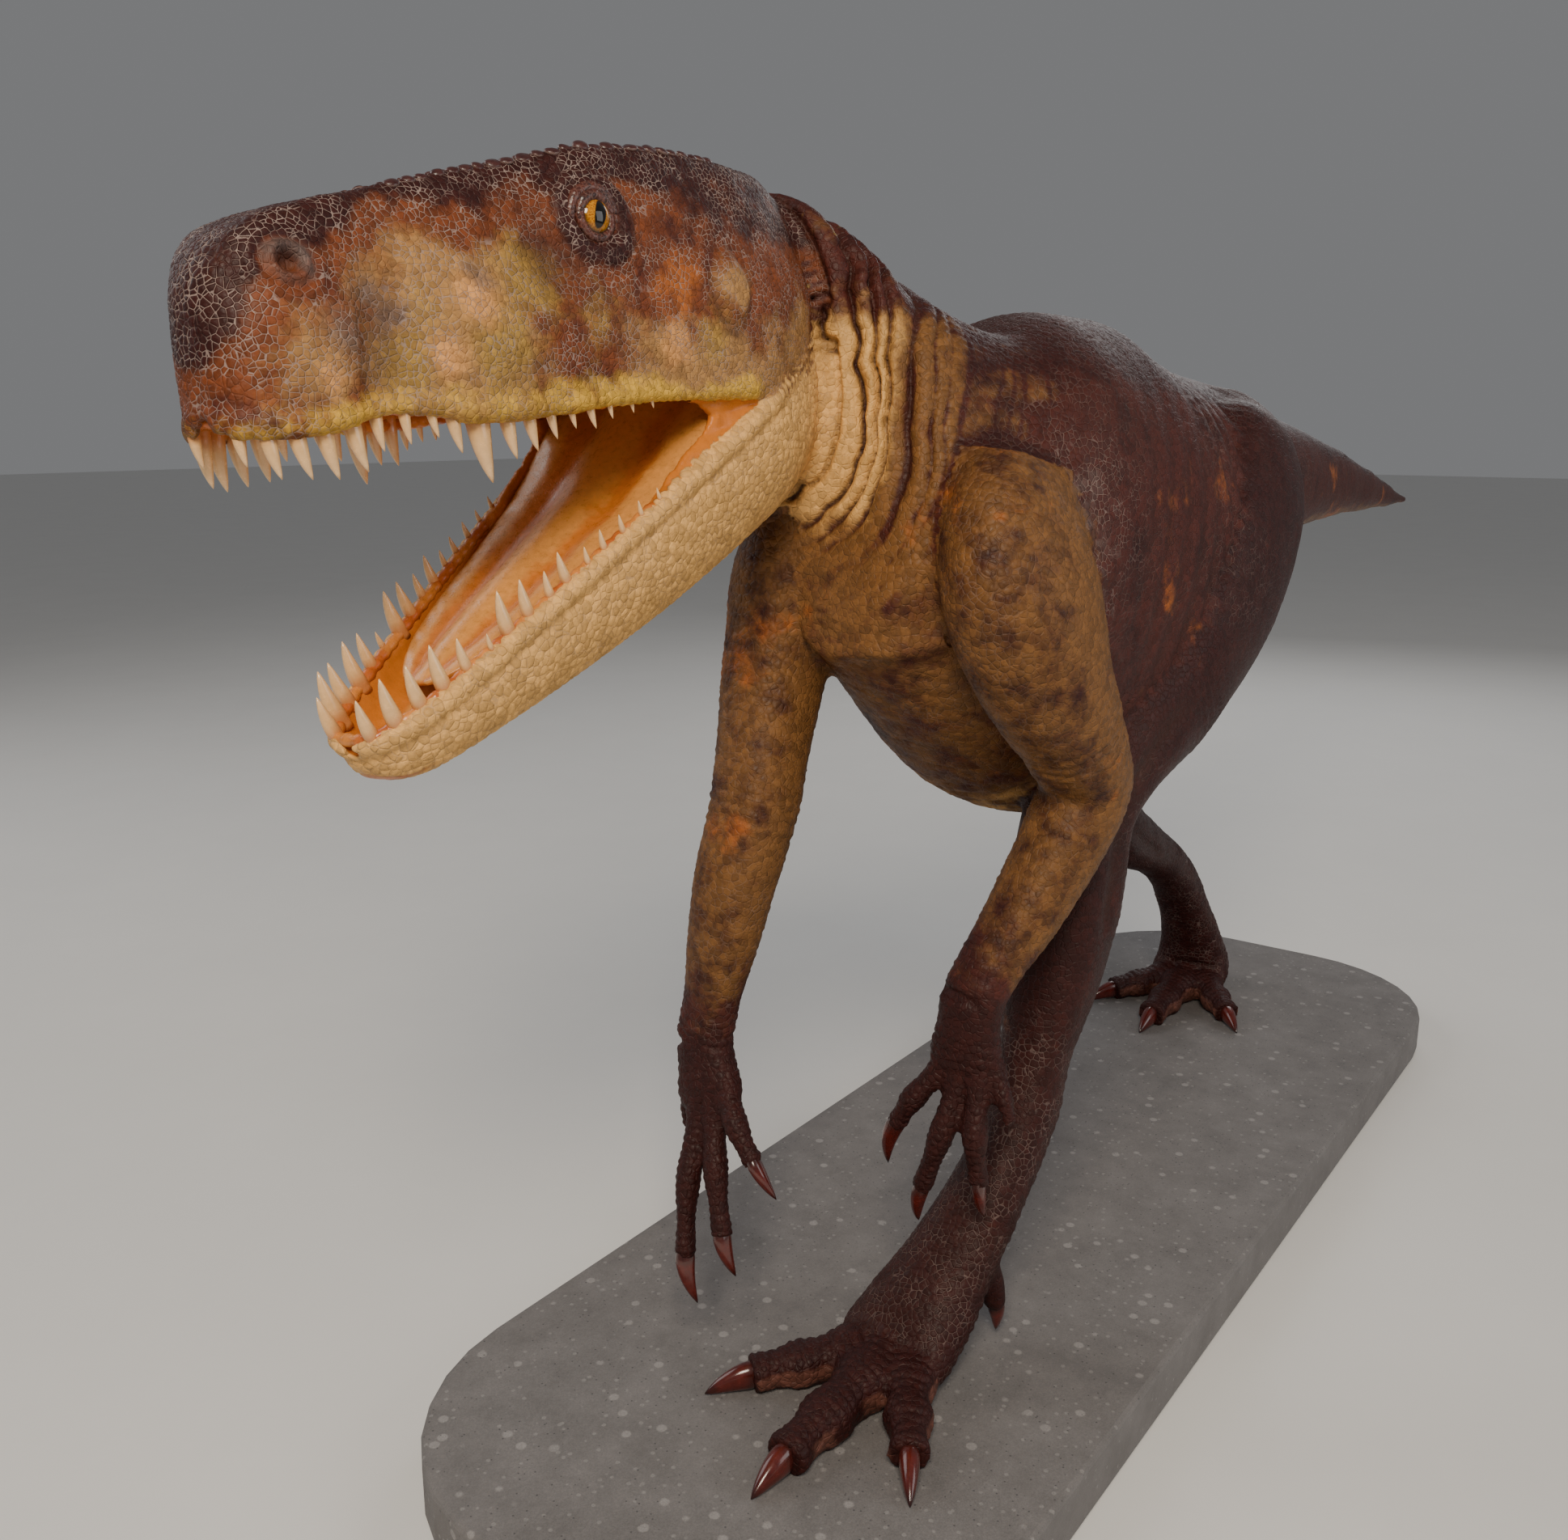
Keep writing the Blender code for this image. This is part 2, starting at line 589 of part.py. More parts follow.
def mouth_web(side, skin):
    """The web of skin between the lips at one corner of the mouth, sunk into the lower lip."""
    rings = []
    for along in (-0.006, WEB_LENGTH * 0.5, WEB_LENGTH):
        wide = side * (row_at(HEAD_SECTIONS, along)[1] - WEB_THICKNESS)
        low = -math.tan(GAPE) * along - 0.012
        corners = ((-0.5, low), (0.5, low), (0.5, 0.006), (-0.5, 0.006))
        rings.append([Vector((along, wide + WEB_THICKNESS * share, high)) for share, high in corners])
    web = loft("web", rings, skin)
    web.matrix_world = head_frame()
    return web


def make_jaw(skin, ivory):
    """The lower jaw with its teeth, cut level behind the mouth's corner where the head sits on it."""
    place = jaw_frame()
    jaw = loft("lower_jaw", [jaw_ring(row) for row in smooth_rows(JAW_SECTIONS, 2)], skin)
    jaw.matrix_world = place
    pieces = make_teeth(LOWER_TEETH, JAW_SECTIONS, place, False, ivory)
    fuse(jaw, pieces + [mouth_web(1, skin), mouth_web(-1, skin)])
    head = head_frame()
    forward, _, up = head.to_3x3().transposed()
    slice_off(jaw, head @ Vector((0, 0, -GAP)), up)
    slice_off(jaw, head @ Vector((HEAD_BACK, 0, 0)), -forward)
    return jaw


def make_tongue(finish):
    """A broad tongue that fills the floor of the mouth, with a rounded tip and a groove down it."""
    rings = []
    for along, lip, _, floor in smooth_rows(JAW_SECTIONS, 2):
        if not 0.05 <= along <= 0.44:
            continue
        share = (along - 0.05) / 0.39
        inner = (lip - LIP_THICKNESS) * math.sqrt(max(1.0 - share ** 6, 0.08))
        low = floor + GAP
        top = low + 0.036 * (1.0 - 0.35 * share ** 4)
        half = [(0.0, low), (inner * 0.56, low), (inner * 0.70, low + 0.15 * abs(floor) + 0.003),
                (inner * 0.68, low + 0.6 * (top - low)), (inner * 0.40, top), (0.0, top - 0.005)]
        rings.append([Vector((along, wide, high)) for wide, high in both_sides(half)])
    tongue = loft("tongue", rings, finish)
    tongue.matrix_world = jaw_frame()
    return tongue


def trunk_rows():
    """Spine rows from neck to tail with the neck's folds on them, and the row of each section.

    Each row ends in the direction of the spine there.
    """
    fine = smooth_rows(TRUNK_SECTIONS, NECK_STEPS)
    last_fold = NECK_SPANS * NECK_STEPS
    kept = list(range(last_fold)) + list(range(last_fold, len(fine), NECK_STEPS // TRUNK_STEPS))
    rows = []
    for index in kept:
        row = list(fine[index])
        ahead = fine[min(index + 1, len(fine) - 1)][:3] - fine[max(index - 1, 0)][:3]
        if index < last_fold:
            fade = math.sin(math.pi * index / last_fold) ** 0.5
            swell = FOLD_DEPTH * fade * math.cos(math.tau * index / FOLD_RINGS)
            row[3:] = [size + swell for size in row[3:]]
        rows.append(row + list(ahead))
    return rows, [kept.index(section * NECK_STEPS) for section in range(len(TRUNK_SECTIONS))]


def trunk_rings():
    """Rings of the trunk behind the head, and the ring at which each of its pieces starts or ends.

    The first ring lies in the plane of the head's back. The neck's rings turn from there until they
    stand square to the spine.
    """
    rows, sections = trunk_rows()
    place = head_frame()
    _, left, up = place.to_3x3().transposed()
    joint = place @ Vector((HEAD_BACK - GAP, 0.0, 0.040))
    turning = sections[TRUNK_PARTS[0]] + 1
    rings = [oval(joint, left, up, 0.106, 0.182, 0.158, 22)]
    for index, row in enumerate(rows, 1):
        ahead = Vector(row[6:]).normalized()
        square = Vector((0, -1, 0))
        square = (square - ahead * square.dot(ahead)).normalized()
        turn = min(index / turning, 1.0)
        across = left.lerp(square, turn).normalized()
        rise = up.lerp(square.cross(ahead), turn)
        rise = (rise - across * rise.dot(across)).normalized()
        rings.append(oval(Vector(row[:3]), across, rise, *row[3:6], 22))
    cuts = [0] + [sections[number] + 1 for number in TRUNK_PARTS] + [len(rings) - 1]
    return rings, cuts


def make_trunk(skin):
    """Neck, torso, pelvis and three lengths of tail, parted from one loft."""
    rings, cuts = trunk_rings()
    names = ("neck", "torso", "pelvis", "tail_base", "tail_middle", "tail_tip")
    pieces = []
    for name, first, last in zip(names, cuts, cuts[1:]):
        lengths = rings[first:last + 1]
        pieces.append(loft(name, start_after(lengths) if first else lengths, skin))
    place = head_frame()
    forward = place.to_3x3().transposed()[0]
    slice_off(pieces[0], place @ Vector((HEAD_BACK - 2 * GAP, 0, 0)), forward)
    return pieces


def make_cutters(trunk, skin):
    """Neck, torso and pelvis a hair larger, the neck without the valleys between its folds."""
    rings, cuts = trunk_rings()
    crests = loft("crests", [rings[0]] + rings[1:cuts[1] + 1:FOLD_RINGS], skin)
    cutters = [swollen(body, LIMB_CLEARANCE) for body in (crests, *trunk[1:3])]
    bpy.data.objects.remove(crests)
    return cutters


def make_limb(sections, steps, cuts, names, cutters, skin):
    """A limb lofted whole and parted at its joints, cut back where it meets the body's side."""
    rings = rings_along(smooth_rows(sections, steps), 12)
    pieces = []
    for name, first, last in zip(names, cuts, cuts[1:]):
        lengths = rings[first:last + 1]
        pieces.append(loft(name, start_after(lengths) if first else lengths, skin))
    for piece in pieces:
        for cutter in cutters:
            carve(piece, cutter)
    return pieces, rings[cuts[-1]:]


def claw(name, root, ahead, bend, length, half, finish):
    """A curved claw with a blunt root, deeper than it is wide."""
    ahead = ahead.normalized()
    bend = (bend - ahead * bend.dot(ahead)).normalized()
    across = bend.cross(ahead)
    rings = []
    for share, thick in ((0.0, 1.0), (0.35, 0.94), (0.7, 0.58), (0.98, 0.10)):
        centre = root + ahead * (GAP + length * share) + bend * length * 0.30 * share ** 2
        rings.append(oval(centre, across, bend, half * 0.8 * thick, half * thick, half * thick, 8, 2.0))
    return loft(name, rings, finish)


def make_hand(word, wrist_rings, plan, skin, horn):
    """Palm and four fingers, three of them clawed."""
    wrist = wrist_rings[0]
    centre = sum(wrist, Vector()) / len(wrist)
    knuckles = Vector(plan["knuckles"])
    rows = [(*centre.lerp(knuckles, share), half, deep, deep)
            for share, half, deep in ((0.35, 0.038, 0.024), (0.75, 0.044, 0.022), (1.0, 0.036, 0.017))]
    rings = start_after([wrist, *rings_along(rows, len(wrist))])
    palm = loft("hand_" + word, rings, skin)
    fingers = []
    claws = []
    for name in ("thumb", "second", "third", "fourth"):
        *joints, tip = [Vector(point) if point else None for point in plan[name]]
        thick = FINGER_HALF * (0.72 if name == "fourth" else 1.0)
        rows = []
        for number, point in enumerate(smooth_rows(joints, 3)):
            lump = 1.0 + 0.10 * math.cos(math.pi * number / 1.5)
            taper = 1.0 - 0.045 * number
            rows.append((*point, thick * lump * taper, thick * lump * taper, thick * lump * taper))
        ahead = (Vector(rows[-1][:3]) - Vector(rows[-2][:3])).normalized()
        fingers.append(loft("finger", rings_along(rows, 8, 2.0), skin))
        if tip is not None:
            root = Vector(rows[-1][:3])
            reach = (tip - root).length
            claws.append(claw(f"claw_{word}_{name}", root, ahead, tip - root + Vector((0.02, 0, -0.02)),
                              reach * 0.95, rows[-1][3] * 0.92, horn))
    fuse(palm, fingers)
    return [palm] + claws


def make_foot(word, leg_rings, midfoot, inward, skin, horn):
    """Instep, three padded toes and a small clawed spur toe behind, flat where they stand."""
    rings = start_after(leg_rings)
    foot = loft("foot_" + word, rings, skin)
    toes = []
    claws = []
    for name, (turn, length, half) in TOES.items():
        ahead = Vector((-math.cos(turn), inward * math.sin(turn), 0.0))
        side = Vector((ahead.y, -ahead.x, 0.0))
        rows = []
        for number in range(10):
            share = number / 9
            pad = 1.0 + 0.14 * math.cos(math.tau * share * TOE_PADS)
            wide = half * (1.0 - 0.38 * share) * pad
            high = half * (0.98 - 0.36 * share)
            centre = midfoot + ahead * (0.02 + (length - 0.02) * share)
            centre.z = FLOOR + 0.026 - 0.008 * share
            rows.append((*centre, wide, high, high))
        toes.append(loft("toe", rings_along(rows, 8, 2.1, side), skin))
        root = Vector(rows[-1][:3])
        final = (root - Vector(rows[-2][:3])).normalized()
        nail = claw(f"claw_foot_{word}_{name}", root, final, Vector((0, 0, -1)),
                    TOE_CLAW, rows[-1][3] * 0.86, horn)
        slice_off(nail, (0, 0, FLOOR), (0, 0, -1))
        claws.append(nail)
    outward = Vector((0.30, -inward * 0.10, -0.95)).normalized()
    base = midfoot + SPUR_AT[word]
    rows = [(*(base + outward * SPUR_LENGTH * share), 0.017 * thick, 0.017 * thick, 0.017 * thick)
            for share, thick in ((-0.2, 1.0), (0.3, 1.05), (0.7, 0.9), (1.0, 0.72))]
    toes.append(loft("spur", rings_along(rows, 8, 2.0), skin))
    claws.append(claw(f"claw_foot_{word}_spur", Vector(rows[-1][:3]), outward, Vector((0, 0, -1)),
                      SPUR_CLAW, 0.011, horn))
    fuse(foot, toes)
    slice_off(foot, (0, 0, FLOOR), (0, 0, -1))
    return [foot] + claws


def make_slab(stone):
    """The cast slab that carries both feet, with rounded corners."""
    shape = bmesh.new()
    bmesh.ops.create_cube(shape, size=1.0)
    bmesh.ops.scale(shape, vec=(SLAB_LENGTH, SLAB_WIDTH, SLAB_THICKNESS), verts=shape.verts)
    corners = [edge for edge in shape.edges if abs(edge.verts[0].co.z - edge.verts[1].co.z) > GAP]
    bmesh.ops.bevel(shape, geom=corners, offset=SLAB_CORNER, segments=8, profile=0.5, affect="EDGES")
    mesh = bpy.data.meshes.new("stand_slab")
    shape.to_mesh(mesh)
    shape.free()
    mesh.materials.append(stone)
    slab = bpy.data.objects.new("stand_slab", mesh)
    bpy.context.scene.collection.objects.link(slab)
    slab.location = (*SLAB_MIDDLE, SLAB_THICKNESS / 2)
    edge = slab.modifiers.new("edge", "BEVEL")
    edge.width = SLAB_EDGE
    edge.segments = 2
    edge.limit_method = "ANGLE"
    edge.angle_limit = math.radians(40.0)
    return slab


def main():
    clear_scene()
    skin = material("painted_skin", (0.17, 0.085, 0.045), 0.55)
    pale = material("painted_throat", (0.52, 0.37, 0.20), 0.50)
    gum = material("painted_mouth", (0.62, 0.33, 0.15), 0.30)
    ivory = material("ivory_teeth", (0.80, 0.62, 0.42), 0.22)
    horn = material("dark_horn", (0.10, 0.022, 0.012), 0.20)
    amber = material("amber_eye", (0.45, 0.24, 0.02), 0.08)
    stone = material("cast_slab", (0.16, 0.155, 0.15), 0.85)
    nodes = [make_slab(stone)]
    nodes += make_head(skin, ivory, amber)
    nodes += [make_jaw(pale, ivory), make_tongue(gum)]
    trunk = make_trunk(skin)
    nodes += trunk
    cutters = make_cutters(trunk, skin)
    limbs = (("left", LEFT_LEG, LEFT_ARM, LEFT_MIDFOOT, LEFT_HAND, 1.0),
             ("right", RIGHT_LEG, RIGHT_ARM, RIGHT_MIDFOOT, RIGHT_HAND, -1.0))
    for word, leg, arm, midfoot, hand, inward in limbs:
        pieces, rest = make_limb(leg, LEG_STEPS, (0, KNEE, ANKLE), ("thigh_" + word, "shank_" + word),
                                 cutters, skin)
        nodes += pieces + make_foot(word, rest, midfoot, inward, skin, horn)
        pieces, rest = make_limb(arm, ARM_STEPS, (0, ELBOW, WRIST), ("upper_arm_" + word, "forearm_" + word),
                                 cutters, skin)
        nodes += pieces + make_hand(word, rest, hand, skin, horn)
    for cutter in cutters:
        bpy.data.objects.remove(cutter)
    figure = bpy.data.collections.new("dinosaur_model")
    bpy.context.scene.collection.children.link(figure)
    for node in nodes:
        for collection in list(node.users_collection):
            collection.objects.unlink(node)
        figure.objects.link(node)


main()
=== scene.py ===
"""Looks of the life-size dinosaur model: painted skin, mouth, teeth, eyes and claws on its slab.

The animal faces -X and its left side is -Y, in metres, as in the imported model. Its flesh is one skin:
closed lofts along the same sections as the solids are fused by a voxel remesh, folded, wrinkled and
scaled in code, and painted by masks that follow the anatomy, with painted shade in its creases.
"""
import math
import random

import bmesh
import bpy
import numpy as np
from mathutils import Matrix, Vector
from mathutils.kdtree import KDTree


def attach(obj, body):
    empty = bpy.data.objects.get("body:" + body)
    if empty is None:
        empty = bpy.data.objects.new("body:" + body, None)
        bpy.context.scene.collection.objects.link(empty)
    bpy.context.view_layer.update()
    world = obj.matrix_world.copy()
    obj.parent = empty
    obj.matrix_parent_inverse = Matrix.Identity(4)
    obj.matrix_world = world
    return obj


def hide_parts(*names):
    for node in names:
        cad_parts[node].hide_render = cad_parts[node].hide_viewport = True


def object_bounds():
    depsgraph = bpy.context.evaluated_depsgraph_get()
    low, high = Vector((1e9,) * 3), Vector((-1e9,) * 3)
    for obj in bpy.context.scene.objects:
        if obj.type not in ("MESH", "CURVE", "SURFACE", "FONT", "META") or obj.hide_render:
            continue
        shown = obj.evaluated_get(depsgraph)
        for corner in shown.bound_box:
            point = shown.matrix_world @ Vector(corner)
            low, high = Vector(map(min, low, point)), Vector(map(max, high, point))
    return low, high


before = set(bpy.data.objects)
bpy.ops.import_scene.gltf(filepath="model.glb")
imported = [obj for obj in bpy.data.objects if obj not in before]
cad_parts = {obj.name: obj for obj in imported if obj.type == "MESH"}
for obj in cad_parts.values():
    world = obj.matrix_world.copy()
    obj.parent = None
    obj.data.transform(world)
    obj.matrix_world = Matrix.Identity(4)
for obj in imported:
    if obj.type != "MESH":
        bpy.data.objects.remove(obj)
CAD_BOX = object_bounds()

FLOOR = 0.0703               # level of the slab's top that the soles rest on

# Where the head is held, and how far the mouth opens
JAW_JOINT = Vector((-0.670, 0.159, 1.179))
HEAD_YAW = math.radians(3.8)
HEAD_PITCH = math.radians(-2.0)
HEAD_ROLL = math.radians(3.8)
GAPE = math.radians(28.0)
HEAD_BACK = -0.12            # plane where the head meets the neck, measured forward of the jaw joint
LIP_THICKNESS = 0.013

# Sections of the head, forward of the jaw joint: lip half width, lip height, cheek half width,
# cheek height, brow half width, brow height, midline height and palate height
HEAD_SECTIONS = [
    (-0.120, 0.090, 0.000, 0.102, 0.080, 0.068, 0.198, 0.208, 0.000),
    (-0.070, 0.112, 0.000, 0.122, 0.070, 0.080, 0.211, 0.217, 0.000),
    (0.000, 0.130, 0.000, 0.133, 0.060, 0.086, 0.217, 0.218, 0.000),
    (0.060, 0.125, 0.001, 0.127, 0.055, 0.085, 0.219, 0.215, 0.034),
    (0.120, 0.116, 0.000, 0.117, 0.055, 0.083, 0.218, 0.211, 0.044),
    (0.190, 0.106, 0.000, 0.107, 0.060, 0.076, 0.214, 0.206, 0.046),
    (0.250, 0.098, -0.005, 0.100, 0.055, 0.060, 0.202, 0.197, 0.044),
    (0.310, 0.090, -0.008, 0.093, 0.050, 0.050, 0.189, 0.186, 0.040),
    (0.360, 0.082, -0.007, 0.085, 0.045, 0.046, 0.177, 0.176, 0.036),
    (0.405, 0.072, 0.000, 0.074, 0.050, 0.042, 0.167, 0.167, 0.032),
    (0.440, 0.064, -0.001, 0.065, 0.055, 0.039, 0.159, 0.160, 0.028),
    (0.480, 0.062, -0.008, 0.063, 0.050, 0.037, 0.149, 0.151, 0.024),
    (0.515, 0.055, -0.012, 0.056, 0.050, 0.033, 0.136, 0.139, 0.018),
    (0.537, 0.042, -0.011, 0.043, 0.052, 0.026, 0.118, 0.122, 0.010),
    (0.549, 0.027, -0.008, 0.028, 0.055, 0.017, 0.097, 0.101, 0.002),
    (0.554, 0.012, -0.004, 0.013, 0.055, 0.008, 0.078, 0.081, 0.004),
]

# Sections of the lower jaw along its own length: lip half width, depth, height of the mouth's floor
JAW_SECTIONS = [
    (-0.150, 0.100, 0.142, 0.000),
    (-0.080, 0.118, 0.142, 0.000),
    (0.000, 0.131, 0.140, -0.003),
    (0.060, 0.126, 0.136, -0.022),
    (0.120, 0.118, 0.131, -0.034),
    (0.200, 0.106, 0.122, -0.038),
    (0.280, 0.093, 0.109, -0.038),
    (0.360, 0.079, 0.094, -0.036),
    (0.420, 0.068, 0.081, -0.034),
    (0.470, 0.057, 0.070, -0.030),
    (0.503, 0.045, 0.060, -0.024),
    (0.524, 0.029, 0.046, -0.016),
    (0.534, 0.012, 0.028, -0.012),
]

# Teeth of one side, front to back: place along the jaw and length out of the gum
UPPER_TEETH = [
    (0.545, 0.026), (0.530, 0.036), (0.512, 0.038), (0.490, 0.040), (0.466, 0.040), (0.444, 0.030),
    (0.420, 0.026), (0.398, 0.024), (0.378, 0.034), (0.352, 0.052), (0.326, 0.036), (0.304, 0.034),
    (0.282, 0.024), (0.260, 0.018), (0.238, 0.020), (0.216, 0.015), (0.190, 0.013), (0.166, 0.011),
]
LOWER_TEETH = [
    (0.522, 0.034), (0.504, 0.040), (0.482, 0.038), (0.458, 0.036), (0.434, 0.030), (0.408, 0.016),
    (0.384, 0.036), (0.360, 0.034), (0.334, 0.024), (0.312, 0.028), (0.286, 0.016), (0.264, 0.018),
    (0.238, 0.016), (0.212, 0.014), (0.186, 0.012),
]
TOOTH_ROOT = 0.010           # how deep each tooth stands in its jaw
TOOTH_SLENDER = 5.2          # length over radius
TOOTH_INSET = 0.003          # from the lip's outer face to the tooth

EYE_AT = Vector((0.205, 0.079, 0.152))
EYE_RADIUS = 0.023
NOSTRIL_AT = (0.500, 0.108)
WEB_LENGTH = 0.055            # skin web at the corner of the mouth
WEB_THICKNESS = 0.008

# Sections from the neck to the tip of the tail: x, y, z, half width, height above and below the spine
TRUNK_SECTIONS = [
    (-0.530, 0.132, 1.214, 0.114, 0.178, 0.154),
    (-0.470, 0.065, 1.150, 0.135, 0.162, 0.182),
    (-0.400, 0.025, 1.090, 0.160, 0.200, 0.228),
    (-0.300, 0.000, 1.045, 0.184, 0.258, 0.285),
    (-0.150, 0.000, 1.000, 0.196, 0.290, 0.330),
    (0.010, 0.000, 0.990, 0.196, 0.262, 0.325),
    (0.150, 0.000, 1.005, 0.180, 0.232, 0.280),
    (0.290, 0.000, 1.025, 0.152, 0.200, 0.215),
    (0.430, 0.000, 1.045, 0.120, 0.163, 0.165),
    (0.620, 0.002, 1.055, 0.088, 0.122, 0.118),
    (0.900, 0.010, 1.050, 0.066, 0.092, 0.084),
    (1.250, 0.030, 1.030, 0.047, 0.066, 0.059),
    (1.650, 0.065, 1.000, 0.030, 0.042, 0.038),
    (2.050, 0.110, 0.970, 0.016, 0.021, 0.020),
    (2.360, 0.150, 0.950, 0.005, 0.006, 0.006),
]

# Sections down each leg: x, y, z, half width across, reach to the rear and to the front
LEFT_LEG = [
    (0.330, -0.070, 1.165, 0.050, 0.080, 0.090),
    (0.275, -0.110, 1.080, 0.088, 0.140, 0.150),
    (0.130, -0.130, 0.960, 0.094, 0.140, 0.150),
    (-0.030, -0.132, 0.850, 0.084, 0.115, 0.115),
    (-0.160, -0.124, 0.775, 0.070, 0.090, 0.085),
    (-0.235, -0.116, 0.700, 0.064, 0.075, 0.072),
    (-0.265, -0.114, 0.610, 0.064, 0.090, 0.060),
    (-0.295, -0.114, 0.510, 0.058, 0.086, 0.048),
    (-0.325, -0.115, 0.415, 0.043, 0.052, 0.038),
    (-0.350, -0.114, 0.345, 0.042, 0.046, 0.040),
    (-0.402, -0.100, 0.265, 0.046, 0.044, 0.038),
    (-0.460, -0.080, 0.185, 0.057, 0.044, 0.040),
    (-0.512, -0.062, 0.128, 0.070, 0.044, 0.042),
    (-0.552, -0.055, 0.104, 0.074, 0.034, 0.028),
    (-0.592, -0.052, 0.092, 0.050, 0.022, 0.014),
]
RIGHT_LEG = [
    (0.300, 0.070, 1.170, 0.050, 0.080, 0.085),
    (0.285, 0.110, 1.080, 0.088, 0.135, 0.145),
    (0.270, 0.130, 0.930, 0.094, 0.130, 0.135),
    (0.265, 0.132, 0.790, 0.084, 0.105, 0.110),
    (0.275, 0.128, 0.660, 0.070, 0.080, 0.085),
    (0.320, 0.122, 0.555, 0.064, 0.072, 0.068),
    (0.410, 0.118, 0.485, 0.060, 0.070, 0.056),
    (0.510, 0.114, 0.435, 0.050, 0.058, 0.046),
    (0.610, 0.112, 0.390, 0.043, 0.046, 0.038),
    (0.685, 0.110, 0.345, 0.042, 0.044, 0.040),
    (0.752, 0.106, 0.275, 0.046, 0.040, 0.038),
    (0.806, 0.102, 0.190, 0.056, 0.040, 0.040),
    (0.824, 0.100, 0.132, 0.068, 0.040, 0.044),
    (0.800, 0.098, 0.104, 0.072, 0.034, 0.028),
    (0.762, 0.096, 0.092, 0.050, 0.022, 0.014),
]

# Where each foot's toes start, and each toe's turn inward of straight ahead, length and half width
LEFT_MIDFOOT = Vector((-0.520, -0.058, 0.108))
RIGHT_MIDFOOT = Vector((0.835, 0.100, 0.108))
TOES = {
    "inner": (math.radians(39.0), 0.190, 0.034),
    "middle": (math.radians(2.0), 0.238, 0.037),
    "outer": (math.radians(-32.0), 0.188, 0.034),
}
TOE_PADS = 3
TOE_CLAW = 0.056
SPUR_LENGTH = 0.058
SPUR_CLAW = 0.032
# Root of the spur toe, from the midfoot
SPUR_AT = {"left": Vector((0.085, -0.058, 0.062)), "right": Vector((0.008, 0.040, 0.066))}

# Sections down each arm, like those of the legs
LEFT_ARM = [
    (-0.420, -0.105, 1.100, 0.055, 0.085, 0.090),
    (-0.465, -0.142, 1.005, 0.072, 0.105, 0.115),
    (-0.450, -0.166, 0.910, 0.066, 0.075, 0.088),
    (-0.400, -0.178, 0.830, 0.054, 0.060, 0.060),
    (-0.352, -0.176, 0.768, 0.050, 0.052, 0.052),
    (-0.378, -0.164, 0.705, 0.048, 0.050, 0.048),
    (-0.425, -0.143, 0.630, 0.042, 0.042, 0.040),
    (-0.465, -0.124, 0.575, 0.036, 0.032, 0.031),
    (-0.489, -0.113, 0.537, 0.038, 0.026, 0.026),
]
RIGHT_ARM = [
    (-0.420, 0.105, 1.080, 0.055, 0.080, 0.085),
    (-0.460, 0.140, 0.990, 0.068, 0.095, 0.095),
    (-0.500, 0.146, 0.900, 0.060, 0.066, 0.066),
    (-0.538, 0.138, 0.810, 0.052, 0.054, 0.053),
    (-0.566, 0.132, 0.735, 0.049, 0.049, 0.048),
    (-0.588, 0.140, 0.660, 0.047, 0.047, 0.046),
    (-0.600, 0.152, 0.580, 0.042, 0.038, 0.038),
    (-0.606, 0.164, 0.510, 0.034, 0.029, 0.029),
    (-0.611, 0.172, 0.457, 0.036, 0.025, 0.025),
]

# Each hand: middle of the knuckles, then each finger from knuckle over joint to claw root, claw tip
LEFT_HAND = {
    "knuckles": (-0.494, -0.108, 0.445),
    "thumb": [(-0.494, -0.086, 0.452), (-0.509, -0.052, 0.406), (-0.508, -0.030, 0.368), (-0.502, -0.006, 0.302)],
    "second": [(-0.495, -0.108, 0.450), (-0.516, -0.094, 0.376), (-0.512, -0.068, 0.300), (-0.504, -0.046, 0.240)],
    "third": [(-0.495, -0.132, 0.452), (-0.514, -0.136, 0.386), (-0.506, -0.138, 0.324), (-0.494, -0.134, 0.266)],
    "fourth": [(-0.490, -0.146, 0.466), (-0.498, -0.162, 0.432), (-0.497, -0.170, 0.404), None],
}
RIGHT_HAND = {
    "knuckles": (-0.630, 0.146, 0.385),
    "thumb": [(-0.622, 0.132, 0.420), (-0.646, 0.098, 0.382), (-0.650, 0.070, 0.346), (-0.650, 0.040, 0.308)],
    "second": [(-0.630, 0.142, 0.395), (-0.660, 0.118, 0.326), (-0.676, 0.097, 0.258), (-0.682, 0.074, 0.214)],
    "third": [(-0.630, 0.160, 0.395), (-0.666, 0.154, 0.306), (-0.688, 0.142, 0.222), (-0.694, 0.110, 0.176)],
    "fourth": [(-0.618, 0.174, 0.406), (-0.622, 0.188, 0.372), (-0.620, 0.190, 0.344), None],
}
FINGER_HALF = 0.016

VOXEL = 0.0044               # grid of the remesh that fuses the flesh
SIDES = 48                   # points round each limb's ring

# Camera of the photograph, found from the figure itself
CAMERA_AT = (-1.840, -0.832, 1.167)
CAMERA_TURN = math.radians(54.125)
CAMERA_TILT = math.radians(13.66)
CAMERA_LENS = 33.44


def smooth_rows(rows, steps):
    """Rows of numbers on a Catmull-Rom curve, with steps spans from each row to the next."""
    rows = np.array(rows, float)
    ends = np.vstack([2 * rows[0] - rows[1], rows, 2 * rows[-1] - rows[-2]])
    result = []
    for before, start, end, after in zip(ends, ends[1:], ends[2:], ends[3:]):
        for step in range(steps):
            t = step / steps
            result.append(0.5 * (2 * start + (end - before) * t
                                 + (2 * before - 5 * start + 4 * end - after) * t ** 2
                                 + (3 * start - before - 3 * end + after) * t ** 3))
    result.append(rows[-1])
    return result


